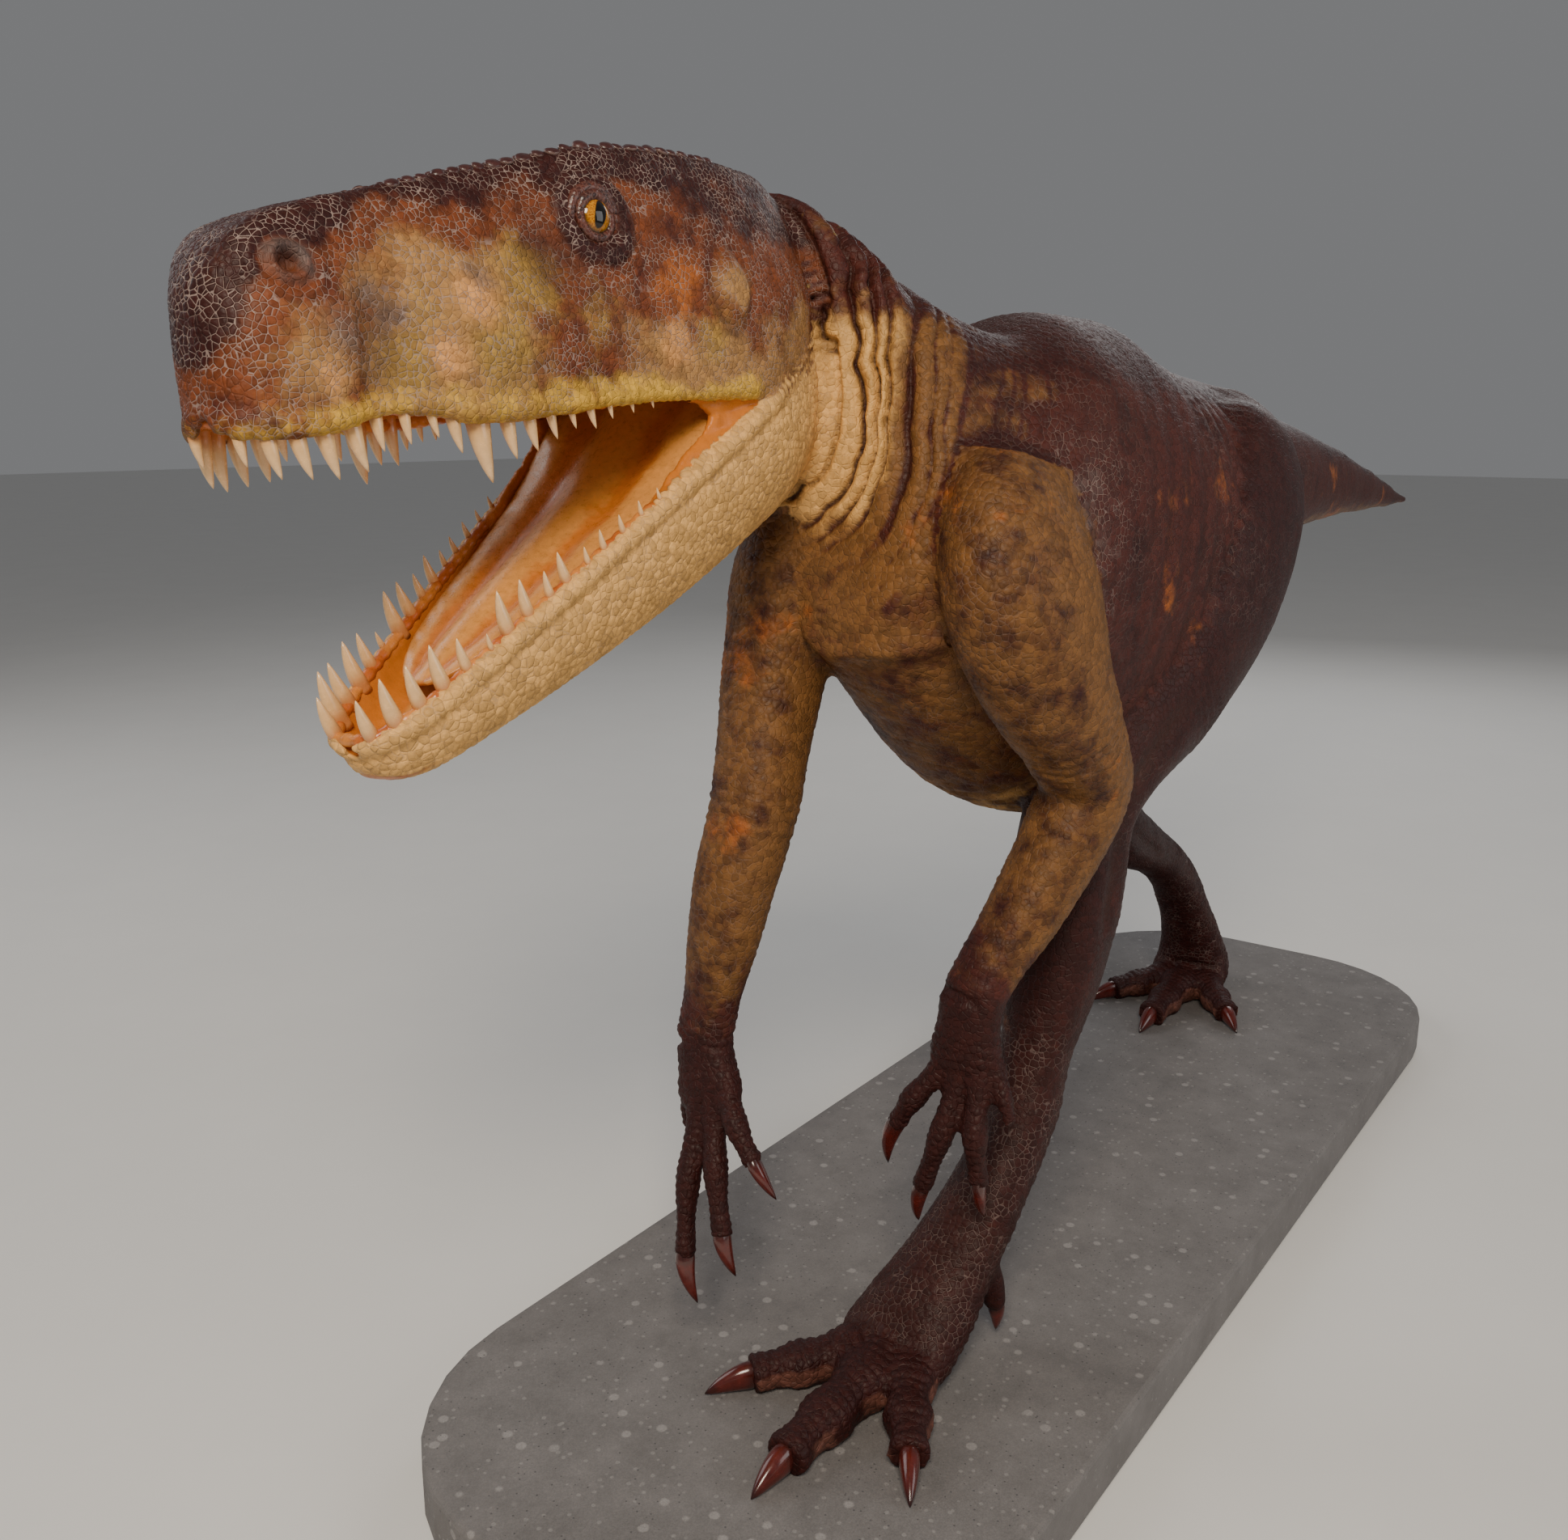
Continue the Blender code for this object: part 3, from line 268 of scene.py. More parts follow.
def closed_curve(points, steps):
    """A ring of points with steps spans from each given point to the next, on a closed curve."""
    points = np.array(points, float)
    before, after, beyond = np.roll(points, 1, 0), np.roll(points, -1, 0), np.roll(points, -2, 0)
    spans = []
    for step in range(steps):
        t = step / steps
        spans.append(0.5 * (2 * points + (after - before) * t
                            + (2 * before - 5 * points + 4 * after - beyond) * t ** 2
                            + (3 * points - before - 3 * after + beyond) * t ** 3))
    return np.stack(spans, 1).reshape(-1, points.shape[1])


def oval(centre, across, up, half, above, below, sides=SIDES, power=2.2):
    """Points of a rounded section, whose reach above and below its centre may differ."""
    points = []
    for index in range(sides):
        angle = math.tau * index / sides
        c, s = math.cos(angle), math.sin(angle)
        wide = half * math.copysign(abs(c) ** (2 / power), c)
        high = (above if s > 0 else below) * math.copysign(abs(s) ** (2 / power), s)
        points.append(centre + across * wide + up * high)
    return points


def rings_along(rows, sides=SIDES, power=2.2, side=Vector((0, -1, 0))):
    """A section at each row of x, y, z, half width, above and below, square to the path."""
    centres = [Vector(row[:3]) for row in rows]
    rings = []
    for index, row in enumerate(rows):
        ahead = centres[min(index + 1, len(rows) - 1)] - centres[max(index - 1, 0)]
        ahead.normalize()
        across = (side - ahead * side.dot(ahead)).normalized()
        rings.append(oval(centres[index], across, across.cross(ahead), *row[3:6], sides, power))
    return rings


def head_frame():
    """Forward, left and up of the head as the columns of a matrix, with the jaw joint as origin."""
    forward = Vector((-math.cos(HEAD_YAW) * math.cos(HEAD_PITCH),
                      -math.sin(HEAD_YAW) * math.cos(HEAD_PITCH), math.sin(HEAD_PITCH)))
    level = Vector((math.sin(HEAD_YAW), -math.cos(HEAD_YAW), 0.0))
    left = (Matrix.Rotation(HEAD_ROLL, 3, forward) @ level).normalized()
    columns = Matrix((forward, left, forward.cross(left))).transposed().to_4x4()
    return Matrix.Translation(JAW_JOINT) @ columns


HEAD = head_frame()
JAW = HEAD @ Matrix.Rotation(GAPE, 4, "Y")


def both_sides(half):
    """A closed ring from points of the left half, listed from the lower midline to the upper one."""
    return half + [(-wide, high) for wide, high in reversed(half[1:-1])]


def head_ring(row):
    """One section of the upper head, with its palate set up between the lips."""
    along, lip, lip_z, cheek, cheek_z, brow, brow_z, mid_z, palate = row
    palate = max(palate, 0.0)
    inner = max(lip - LIP_THICKNESS, lip * 0.45)
    half = [
        (0.0, palate + 0.002),
        (inner * 0.62, palate),
        (inner, min(palate, lip_z + 0.012)),
        (inner + 0.2 * (lip - inner), lip_z + 0.002),
        (lip - 0.15 * (lip - inner), lip_z),
        (lip, lip_z + 0.010),
        (cheek, lip_z + (cheek_z - lip_z) * 0.55),
        (cheek * 1.01, cheek_z + (brow_z - cheek_z) * 0.10),
        (cheek + (brow - cheek) * 0.25, cheek_z + (brow_z - cheek_z) * 0.48),
        (cheek + (brow - cheek) * 0.62, cheek_z + (brow_z - cheek_z) * 0.80),
        (brow, brow_z),
        (brow * 0.52, mid_z + (brow_z - mid_z) * 0.35),
        (0.0, mid_z),
    ]
    return [(along, wide, high) for wide, high in both_sides(half)]


def jaw_ring(row):
    """One section of the lower jaw, a trough with a thick lip."""
    along, lip, depth, floor = row
    inner = max(lip - LIP_THICKNESS, lip * 0.4)
    half = [
        (0.0, floor),
        (inner * 0.62, floor),
        (inner * 0.92, floor * 0.45),
        (inner, -0.001),
        (lip - 0.35 * (lip - inner), 0.002),
        (lip, -0.006),
    ]
    for angle in (20, 42, 64):
        c, s = math.cos(math.radians(angle)), math.sin(math.radians(angle))
        half.append((lip * c ** 0.6, -0.006 - (depth - 0.006) * s ** 0.9))
    half.append((0.0, -depth))
    half.reverse()
    return [(along, wide, high) for wide, high in both_sides(half)]


def column_at(rows, along, column):
    """One column of a table of sections, read at any places along it."""
    table = np.array(sorted(rows))
    return np.interp(along, table[:, 0], table[:, column])


def placed(matrix, points):
    """Points moved by a matrix, as an array."""
    turn = np.array(matrix.to_3x3())
    return np.asarray(points, float) @ turn.T + np.array(matrix.translation)


def trunk_rings():
    """Rings of the trunk, from inside the back of the head to the tail's tip."""
    rows = smooth_rows(TRUNK_SECTIONS, 16)
    _, left, up = HEAD.to_3x3().transposed()
    rings = []
    for along, size in ((HEAD_BACK + 0.05, 0.80), (HEAD_BACK + 0.02, 0.93), (HEAD_BACK, 1.0)):
        rings.append(oval(HEAD @ Vector((along, 0.0, 0.040)), left, up, 0.106 * size, 0.182 * size,
                          0.158 * size, SIDES * 2))
    turning = 32
    for index, row in enumerate(rows):
        ahead = rows[min(index + 1, len(rows) - 1)][:3] - rows[max(index - 1, 0)][:3]
        ahead = Vector(ahead).normalized()
        square = Vector((0, -1, 0))
        square = (square - ahead * square.dot(ahead)).normalized()
        turn = min((index + 1) / turning, 1.0)
        across = left.lerp(square, turn).normalized()
        rise = up.lerp(square.cross(ahead), turn)
        rise = (rise - across * rise.dot(across)).normalized()
        rings.append(oval(Vector(row[:3]), across, rise, *row[3:6], SIDES * 2))
    return rings


def mouth_web(side):
    """The web of skin at one corner of the mouth: a fan between the lips with a thick front rim."""
    rings = []
    for share in np.linspace(0.0, 1.0, 22):
        angle = GAPE * (1.06 * share - 0.03)
        reach = 0.068 + 0.042 * (1 - share) ** 3 + 0.150 * share ** 3.2
        upper = float(column_at(HEAD_SECTIONS, reach, 1)) - 0.0135
        lower = float(column_at(JAW_SECTIONS, reach, 1)) - 0.0135
        wide = upper + (lower - upper) * share
        rim = 0.0068 * (1.0 - 0.35 * share)
        turn = Matrix.Rotation(angle, 3, "Y")
        ring = []
        for radius, across in web_outline(reach, rim):
            along = turn @ Vector((radius, 0.0, 0.0))
            spread = wide + 0.010 * ramp(reach - radius, 0.0, 0.08)
            ring.append((along.x, side * (spread + across), along.z - 0.004 * (1 - share)))
        rings.append(ring)
    return placed_rings(HEAD, rings)


def web_outline(reach, rim):
    """Radius and offset of the web's section: thin, with a round rim in front."""
    thin = WEB_THICKNESS / 2
    outline = [(radius, thin) for radius in np.linspace(-0.020, reach - 2.2 * rim, 7)]
    outline += [(reach - rim + rim * math.cos(angle), rim * math.sin(angle))
                for angle in np.linspace(2.2, -2.2, 13)]
    outline += [(radius, -thin) for radius in np.linspace(reach - 2.2 * rim, -0.020, 7)]
    return outline


def placed_rings(matrix, rings):
    return [placed(matrix, ring) for ring in rings]


def hand_lofts(word, wrist_row, plan):
    """Palm and fingers of one hand, as labelled lofts."""
    centre = Vector(wrist_row[:3])
    knuckles = Vector(plan["knuckles"])
    rows = [tuple(wrist_row)]
    rows += [(*centre.lerp(knuckles, share), half, deep, deep)
             for share, half, deep in ((0.35, 0.038, 0.024), (0.75, 0.044, 0.022), (1.0, 0.036, 0.017))]
    result = [("palm_" + word, rings_along(smooth_rows(rows, 6)))]
    for name in ("thumb", "second", "third", "fourth"):
        joints = [point for point in plan[name] if point][:3]
        thick = FINGER_HALF * (0.72 if name == "fourth" else 1.0)
        rows = []
        for number, point in enumerate(smooth_rows(joints, 12)):
            share = number / 4
            size = thick * (1.0 + 0.10 * math.cos(math.pi * share / 1.5)) * (1.0 - 0.045 * share)
            rows.append((*point, size, size, size))
        result.append(("finger_" + word, rings_along(rows, 28, 2.0)))
    return result


def foot_lofts(word, midfoot, inward):
    """Three padded toes and the spur toe of one foot, as labelled lofts."""
    result = []
    for turn, length, half in TOES.values():
        ahead = Vector((-math.cos(turn), inward * math.sin(turn), 0.0))
        side = Vector((ahead.y, -ahead.x, 0.0))
        rows = []
        for number in range(46):
            share = number / 45
            pad = 1.0 + 0.14 * math.cos(math.tau * share * TOE_PADS)
            wide = half * (1.0 - 0.38 * share) * pad
            high = half * (0.98 - 0.36 * share) * (1.0 + 0.05 * math.cos(math.tau * share * TOE_PADS))
            centre = midfoot + ahead * (0.02 + (length - 0.02) * share)
            centre.z = FLOOR + 0.026 - 0.008 * share
            rows.append((*centre, wide, high, high))
        result.append(("toe_" + word, rings_along(rows, 36, 2.1, side)))
    outward = Vector((0.30, -inward * 0.10, -0.95)).normalized()
    base = midfoot + SPUR_AT[word]
    rows = [(*(base + outward * SPUR_LENGTH * share), 0.017 * thick, 0.017 * thick, 0.017 * thick)
            for share, thick in ((-0.2, 1.0), (0.3, 1.05), (0.7, 0.9), (1.0, 0.72))]
    result.append(("spur_" + word, rings_along(smooth_rows(rows, 6), 24, 2.0)))
    return result


def flesh_lofts():
    """Every closed loft of the flesh, with a label that the painting and folding read."""
    head = [placed(HEAD, closed_curve(head_ring(row), 4)) for row in smooth_rows(HEAD_SECTIONS, 8)]
    jaw = [placed(JAW, closed_curve(jaw_ring(row), 4)) for row in smooth_rows(JAW_SECTIONS, 8)]
    lofts = [("head", head), ("jaw", jaw), ("trunk", trunk_rings())]
    lofts += [("web", mouth_web(1)), ("web", mouth_web(-1))]
    limbs = (("left", LEFT_LEG, LEFT_ARM, LEFT_MIDFOOT, LEFT_HAND, 1.0),
             ("right", RIGHT_LEG, RIGHT_ARM, RIGHT_MIDFOOT, RIGHT_HAND, -1.0))
    for word, leg, arm, midfoot, hand, inward in limbs:
        lofts.append(("leg_" + word, rings_along(smooth_rows(leg, 8))))
        lofts.append(("arm_" + word, rings_along(smooth_rows(arm, 8))))
        lofts += hand_lofts(word, arm[-1], hand)
        lofts += foot_lofts(word, midfoot, inward)
    return [(label, np.array([[tuple(point) for point in ring] for ring in rings])) for label, rings in lofts]


def mesh_object(name, points, faces, finish=None):
    """A new object from points and faces, smooth shaded."""
    mesh = bpy.data.meshes.new(name)
    mesh.from_pydata([tuple(point) for point in points], [], [tuple(face) for face in faces])
    mesh.validate()
    mesh.shade_smooth()
    if finish:
        mesh.materials.append(finish)
    result = bpy.data.objects.new(name, mesh)
    bpy.context.scene.collection.objects.link(result)
    return result


def loft_faces(count, columns, start=0):
    """Faces of a closed loft whose rings are numbered one after another."""
    grid = start + np.arange(count * columns).reshape(count, columns)
    after = np.roll(grid, -1, 1)
    quads = np.stack([grid[:-1], after[:-1], after[1:], grid[1:]], -1).reshape(-1, 4)
    return [list(map(int, quad)) for quad in quads] + [list(map(int, grid[0][::-1])),
                                                       list(map(int, grid[-1]))]


def fused_flesh(lofts):
    """The lofts as one closed surface, with finer faces on head, neck, hands and feet."""
    points, faces = [], []
    total = 0
    for _, rings in lofts:
        faces += loft_faces(rings.shape[0], rings.shape[1], total)
        points.append(rings.reshape(-1, 3))
        total += rings.shape[0] * rings.shape[1]
    skin = mesh_object("skin", np.vstack(points), faces)
    remesh = skin.modifiers.new("fuse", "REMESH")
    remesh.mode = "VOXEL"
    remesh.voxel_size = VOXEL
    remesh.use_smooth_shade = True
    bake_modifiers(skin)
    blend_roots(skin)
    shape = bmesh.new()
    shape.from_mesh(skin.data)
    fine = []
    for edge in shape.edges:
        middle = (edge.verts[0].co + edge.verts[1].co) / 2
        head = middle.x < -0.54 and middle.z > 0.84
        neck = middle.x < -0.36 and middle.z > 1.00
        hand = middle.x < -0.45 and middle.z < 0.50
        toes = middle.z < 0.16
        if head or neck or hand or toes:
            fine.append(edge)
    bmesh.ops.subdivide_edges(shape, edges=fine, cuts=1, use_grid_fill=True, smooth=0.0)
    shape.to_mesh(skin.data)
    shape.free()
    return skin


def blend_roots(skin):
    """Smooths the flesh, most where arms and thighs grow out of the body."""
    ends = edge_ends(skin)
    points = relaxed(coordinates(skin), ends, 4)
    reach = np.zeros(len(points))
    for centre, size in ((LEFT_ARM[0], 0.15), (LEFT_ARM[1], 0.13), (RIGHT_ARM[0], 0.15), (RIGHT_ARM[1], 0.12),
                         (LEFT_LEG[0], 0.16), (LEFT_LEG[1], 0.15), (RIGHT_LEG[0], 0.16), (RIGHT_LEG[1], 0.15)):
        away = np.linalg.norm(points - np.array(centre[:3]), axis=1)
        reach = np.maximum(reach, gauss(np.maximum(away - 0.04, 0), size * 0.62))
    shoulders = points[:, 0] < 0
    reach *= np.where(shoulders, ramp(points[:, 2], 0.93, 1.02), 0.8)
    reach *= ramp(points[:, 0], -0.56, -0.50)
    for _ in range(130):
        points += (relaxed(points, ends, 1, 1.0) - points) * 0.55 * reach[:, None]
    set_coordinates(skin, points)


def bake_modifiers(piece):
    """Replaces a piece's mesh by what its modifiers make of it."""
    bpy.context.view_layer.update()
    evaluated = piece.evaluated_get(bpy.context.evaluated_depsgraph_get())
    mesh = bpy.data.meshes.new_from_object(evaluated)
    piece.modifiers.clear()
    old = piece.data
    piece.data = mesh
    mesh.name = piece.name
    bpy.data.meshes.remove(old)


def coordinates(piece):
    values = np.empty(len(piece.data.vertices) * 3)
    piece.data.vertices.foreach_get("co", values)
    return values.reshape(-1, 3)


def set_coordinates(piece, points):
    piece.data.vertices.foreach_set("co", points.ravel())
    piece.data.update()


def normals(piece):
    values = np.empty(len(piece.data.vertices) * 3, np.float32)
    piece.data.vertex_normals.foreach_get("vector", values)
    return values.reshape(-1, 3).astype(float)


def edge_ends(piece):
    values = np.empty(len(piece.data.edges) * 2, np.int32)
    piece.data.edges.foreach_get("vertices", values)
    return values.reshape(-1, 2)


def relaxed(values, ends, rounds, strength=0.5):
    """Values at the vertices, drawn towards the mean of their neighbours some rounds."""
    values = np.array(values, float)
    flat = values.reshape(len(values), -1)
    count = np.bincount(ends.ravel(), minlength=len(flat))[:, None].clip(1)
    for _ in range(rounds):
        mean = np.stack([np.bincount(ends[:, 0], flat[ends[:, 1], k], len(flat))
                         + np.bincount(ends[:, 1], flat[ends[:, 0], k], len(flat))
                         for k in range(flat.shape[1])], 1) / count
        flat = flat + (mean - flat) * strength
    return flat.reshape(values.shape)


def ramp(value, low, high):
    """0 below low, 1 above high and a soft step between them, or the other way round."""
    t = np.clip((np.asarray(value, float) - low) / (high - low), 0.0, 1.0)
    return t * t * (3 - 2 * t)


def noise(points, size, seed=0):
    """Smooth noise from -1 to 1, with bumps about as far apart as size."""
    scaled = np.asarray(points, float) / size + 100.0
    base = np.floor(scaled).astype(np.int64)
    part = scaled - base
    part = part * part * (3 - 2 * part)
    total = np.zeros(len(scaled))
    for corner in range(8):
        offset = np.array([corner & 1, corner >> 1 & 1, corner >> 2 & 1])
        cell = base + offset
        mixed = (cell[:, 0] * 73856093 ^ cell[:, 1] * 19349663 ^ cell[:, 2] * 83492791
                 ^ (seed + 1) * 2654435761) & 0xFFFFFFFF
        mixed = (mixed ^ mixed >> 15) * 2246822519 & 0xFFFFFFFF
        mixed = (mixed ^ mixed >> 13) * 3266489917 & 0xFFFFFFFF
        value = (mixed ^ mixed >> 16) / 0xFFFFFFFF * 2 - 1
        weight = np.prod(np.where(offset == 1, part, 1 - part), 1)
        total += value * weight
    return total


def fractal(points, size, seed=0, octaves=3):
    return sum(noise(points, size / 2 ** k, seed + k) / 2 ** k for k in range(octaves)) / 1.6


def folds(position, spacing, sharp=0.6):
    """Rounded ridges with sharp creases between them: 0 in a crease, 1 on a ridge."""
    return np.abs(np.sin(math.pi * position / spacing)) ** sharp


def gauss(value, width):
    return np.exp(-(np.asarray(value) / width) ** 2)


class Places:
    """Where each vertex of the skin lies: on which loft, how far along it and which way round."""

    def __init__(self, lofts, points):
        rings = [(number, ring) for number, (_, array) in enumerate(lofts) for ring in range(len(array))]
        tree = KDTree(sum(array.shape[0] * array.shape[1] for _, array in lofts))
        owner = []
        for place, (number, ring) in enumerate(rings):
            for point in lofts[number][1][ring]:
                tree.insert(point, len(owner))
                owner.append(place)
        tree.balance()
        nearest = np.array([owner[tree.find(point)[1]] for point in points])
        centre = np.array([lofts[number][1][ring].mean(0) for number, ring in rings])
        ahead, along, across, up = [], [], [], []
        for _, array in lofts:
            middle = array.mean(1)
            step = np.gradient(middle, axis=0)
            ahead.append(step / np.linalg.norm(step, axis=1, keepdims=True))
            lengths = np.linalg.norm(np.diff(middle, axis=0), axis=1)
            along.append(np.concatenate([[0], np.cumsum(lengths)]))
            across.append(array[:, 0] - middle)
            up.append(array[:, array.shape[1] // 4] - middle)
        ahead, along = np.vstack(ahead), np.concatenate(along)
        across, up = np.vstack(across), np.vstack(up)
        away = points - centre[nearest]
        self.labels = np.array([lofts[number][0] for number, _ in rings])[nearest]
        self.along = along[nearest] + (away * ahead[nearest]).sum(1)
        side = (away * across[nearest]).sum(1) / np.linalg.norm(across[nearest], axis=1) ** 2
        rise = (away * up[nearest]).sum(1) / np.linalg.norm(up[nearest], axis=1) ** 2
        self.side, self.rise = side, rise

    def on(self, *labels):
        """1 on the lofts with these labels or whose label starts so, 0 elsewhere."""
        return np.array(np.char.startswith(self.labels, labels[0]) if len(labels) == 1 else
                        np.any([np.char.startswith(self.labels, label) for label in labels], 0), float)


FINE_SCALES = 180.0          # scales in a metre on the upper head
BROAD_SCALES = 126.0         # and on the lower jaw and the body


def nearest_distance(points, targets, reach):
    """Distance from each point to the nearest target, up to reach."""
    tree = KDTree(len(targets))
    for number, target in enumerate(targets):
        tree.insert(target, number)
    tree.balance()
    return np.array([min(tree.find(point)[2], reach) for point in points])


class Flesh:
    """The skin's vertices with their places on the animal, the relief to add and the masks of the paint."""

    def __init__(self, skin, lofts):
        self.skin = skin
        self.ends = edge_ends(skin)
        self.points = coordinates(skin)
        self.facing = normals(skin)
        self.places = Places(lofts, self.points)
        self.a, self.b, self.c = placed(HEAD.inverted(), self.points).T
        self.ja, self.jb, self.jc = placed(JAW.inverted(), self.points).T
        self.side = np.abs(self.b)
        self.lip = column_at(HEAD_SECTIONS, self.a, 1)
        self.lip_z = column_at(HEAD_SECTIONS, self.a, 2)
        self.low_lip = column_at(JAW_SECTIONS, self.ja, 1)
        self.along, self.rise = self.places.along, self.places.rise
        for label in ("head", "jaw", "web", "trunk", "arm", "leg", "palm", "finger", "toe", "spur"):
            setattr(self, label, self.places.on(label))
        self.instep = self.leg * ramp(self.along, 0.98, 1.06)
        self.flat = np.clip(self.side / np.maximum(self.lip, 0.02), 0, 1)
        self.eye = np.hypot(self.a - EYE_AT.x, self.c - EYE_AT.z)
        self.nostril = np.hypot((self.a - NOSTRIL_AT[0]) * 0.9, self.c - NOSTRIL_AT[1])
        self.from_head = relaxed(self.distance_from_head(lofts), self.ends, 8)
        self.neck_start = relaxed(self.trunk, self.ends, 14)
        self.find_lining()
        self.lift = np.zeros(len(self.points))
        self.masks = {}

    def distance_from_head(self, lofts):
        """How far the neck and throat lie behind the head's and the jaw's surface."""
        head = np.vstack([array[::2, ::3].reshape(-1, 3) for label, array in lofts if label in ("head", "jaw")])
        far = np.full(len(self.points), 0.4)
        near = (self.trunk > 0) & (self.points[:, 0] < -0.30)
        far[near] = nearest_distance(self.points[near], head, 0.4)
        far[(self.head + self.jaw + self.web) > 0] = 0.0
        return far

    def find_lining(self):
        """Marks what lies inside the mouth."""
        a, c, ja, jc = self.a, self.c, self.ja, self.jc
        upper = ramp(self.lip - self.side, 0.0065, 0.0105) * ramp(c, 0.058, 0.048) * ramp(a, -0.02, 0.0)
        upper *= ramp(a, 0.548, 0.541) * ramp(c, -0.03, -0.015) * self.head
        lower = ramp(self.low_lip - np.abs(self.jb), 0.0080, 0.0120) * ramp(jc, -0.055, -0.045) * self.jaw
        lower *= ramp(ja, -0.03, 0.0) * ramp(ja, 0.535, 0.527) * ramp(c, 0.002, -0.006)
        web = self.web * ramp(a, -0.012, -0.002)
        self.upper_lining, self.lower_lining, self.cheek_web = upper, lower, web
        self.lining = np.clip(np.maximum(np.maximum(upper, lower), web), 0, 1)
        self.dry = 1.0 - self.lining

    def mask(self, name, *parts):
        """Paints a mask with the strongest of its parts and what it held before."""
        held = self.masks.get(name, np.zeros(len(self.points)))
        for part in parts:
            held = np.maximum(held, part)
        self.masks[name] = np.clip(held, 0, 1)


def fold_neck(f):
    """Long loose folds round the neck, one behind the other from the cheek's edge, and the throat's flap, with a mask
    of painted shade in the fold gaps and under the flap.
    """
    away = f.from_head
    f.lift *= 1 - f.trunk * ramp(away, 0.040, 0.018) * (f.points[:, 0] < -0.3)
    warp = 0.011 * noise(f.points, 0.11, 11) + 0.005 * noise(f.points, 0.040, 12)
    place = (away + warp * ramp(away, 0.0, 0.03)) / 0.0195
    place += 0.35 * np.sin(place * 1.9)
    height = folds(place, 1.0, 0.55) - 0.62
    rough = 0.75 + 0.35 * noise(f.points, 0.07, 13)
    f.upright = 0.18 + 0.82 * ramp(f.c, -0.17, -0.09)
    zone = f.trunk * ramp(away, 0.0, 0.012) * ramp(away, 0.165, 0.060) * (0.40 + 0.60 * ramp(f.c, 0.22, 0.12))
    zone *= f.upright
    f.lift += 0.0230 * zone * rough * height
    f.lift -= 0.0110 * f.neck_start * gauss(away - 0.008, 0.008)
    f.ridge = ramp(height, -0.30, 0.12)
    # Painted shade in the gaps between the folds.
    f.gap = zone * ramp(height, -0.12, -0.42)
    throat = (f.points[:, 2] - 1.045) + 0.9 * (f.points[:, 0] + 0.695) + 0.007 * noise(f.points, 0.03, 16)
    edge = f.trunk * gauss(f.points[:, 0] + 0.69, 0.10) * ramp(f.facing[:, 0], 0.3, -0.2)
    f.lift += 0.0170 * edge * ramp(throat, -0.0035, 0.0035) * ramp(throat, 0.050, 0.012)
    # Painted shadow under the throat flap.
    f.gap = np.maximum(f.gap, edge * gauss(throat + 0.006, 0.005))
    cross = f.points @ np.array([0.3, 0.2, 1.0]) + 0.012 * noise(f.points, 0.05, 14)
    f.lift += 0.0012 * zone * ramp(away, 0.02, 0.04) * (folds(cross, 0.016, 0.8) - 0.6) * ramp(noise(f.points, 0.05, 15), -0.4, 0.3)
    f.neck = f.trunk * ramp(away, 0.30, 0.20)


def fold_chest(f):
    """Wrinkled, pebbled skin from the throat down the chest, with a ragged flap across it."""
    x, z = f.points[:, 0], f.points[:, 2]
    chest = ramp(x, -0.20, -0.32) * ramp(z, 1.10, 1.0) * np.clip(f.trunk + f.arm * 0.4, 0, 1)
    wavy = z + 0.45 * (x + 0.4) + 0.022 * noise(f.points, 0.07, 21) + 0.006 * noise(f.points, 0.02, 22)
    f.lift += 0.0034 * chest * (folds(wavy, 0.019, 0.6) - 0.6) * (0.6 + 0.4 * noise(f.points, 0.08, 24))
    flap = (z - 0.965) - 0.35 * (x + 0.43) + 0.015 * noise(f.points, 0.05, 23)
    f.lift += 0.010 * f.trunk * gauss(flap, 0.018) * ramp(x, -0.28, -0.38)
    f.chest = chest


def fold_body(f):
    """Soft muscle and fat, belly rolls, ribs, and upright folds where the flank meets the thigh."""
    x, z, up = f.points[:, 0], f.points[:, 2], f.facing[:, 2]
    f.lift += 0.0040 * fractal(f.points, 0.13, 3, 2) * (f.trunk + f.leg + 0.4 * f.arm)
    fine = 0.0018 * fractal(f.points, 0.035, 5, 2) * (0.6 + 0.4 * noise(f.points, 0.2, 9))
    f.lift += fine * (f.trunk + f.leg + f.arm)
    wrinkle = folds(z + 0.3 * x + 0.02 * noise(f.points, 0.06, 6), 0.011, 0.8) - 0.6
    f.lift += 0.0011 * (f.trunk + f.leg + f.arm) * wrinkle * ramp(noise(f.points, 0.10, 7), -0.2, 0.5)
    f.belly = f.trunk * ramp(up, -0.15, -0.65) * ramp(x, -0.38, -0.28) * ramp(x, 0.6, 0.2)
    rolls = x + 0.018 * noise(f.points, 0.09, 31) + 0.006 * noise(f.points, 0.025, 32)
    f.lift += 0.0075 * f.belly * (folds(rolls, 0.032, 0.5) - 0.6)
    flank = f.trunk * ramp(x, -0.06, 0.02) * ramp(x, 0.30, 0.20) * (1 - f.belly)
    flank *= ramp(z, 1.24, 1.12) * ramp(np.abs(f.facing[:, 1]), 0.2, 0.6)
    slant = x + 0.12 * (z - 0.9) + 0.015 * noise(f.points, 0.12, 33)
    f.lift += 0.0085 * flank * (folds(slant, 0.044, 0.7) - 0.5)
    ribs = f.trunk * ramp(x, -0.30, -0.20) * ramp(x, 0.02, -0.06)
    ribs *= gauss(z - 0.98, 0.16) * ramp(np.abs(f.facing[:, 1]), 0.3, 0.7)
    f.lift += 0.0022 * ribs * np.sin(math.tau * (x - 0.25 * (z - 0.9)) / 0.052)


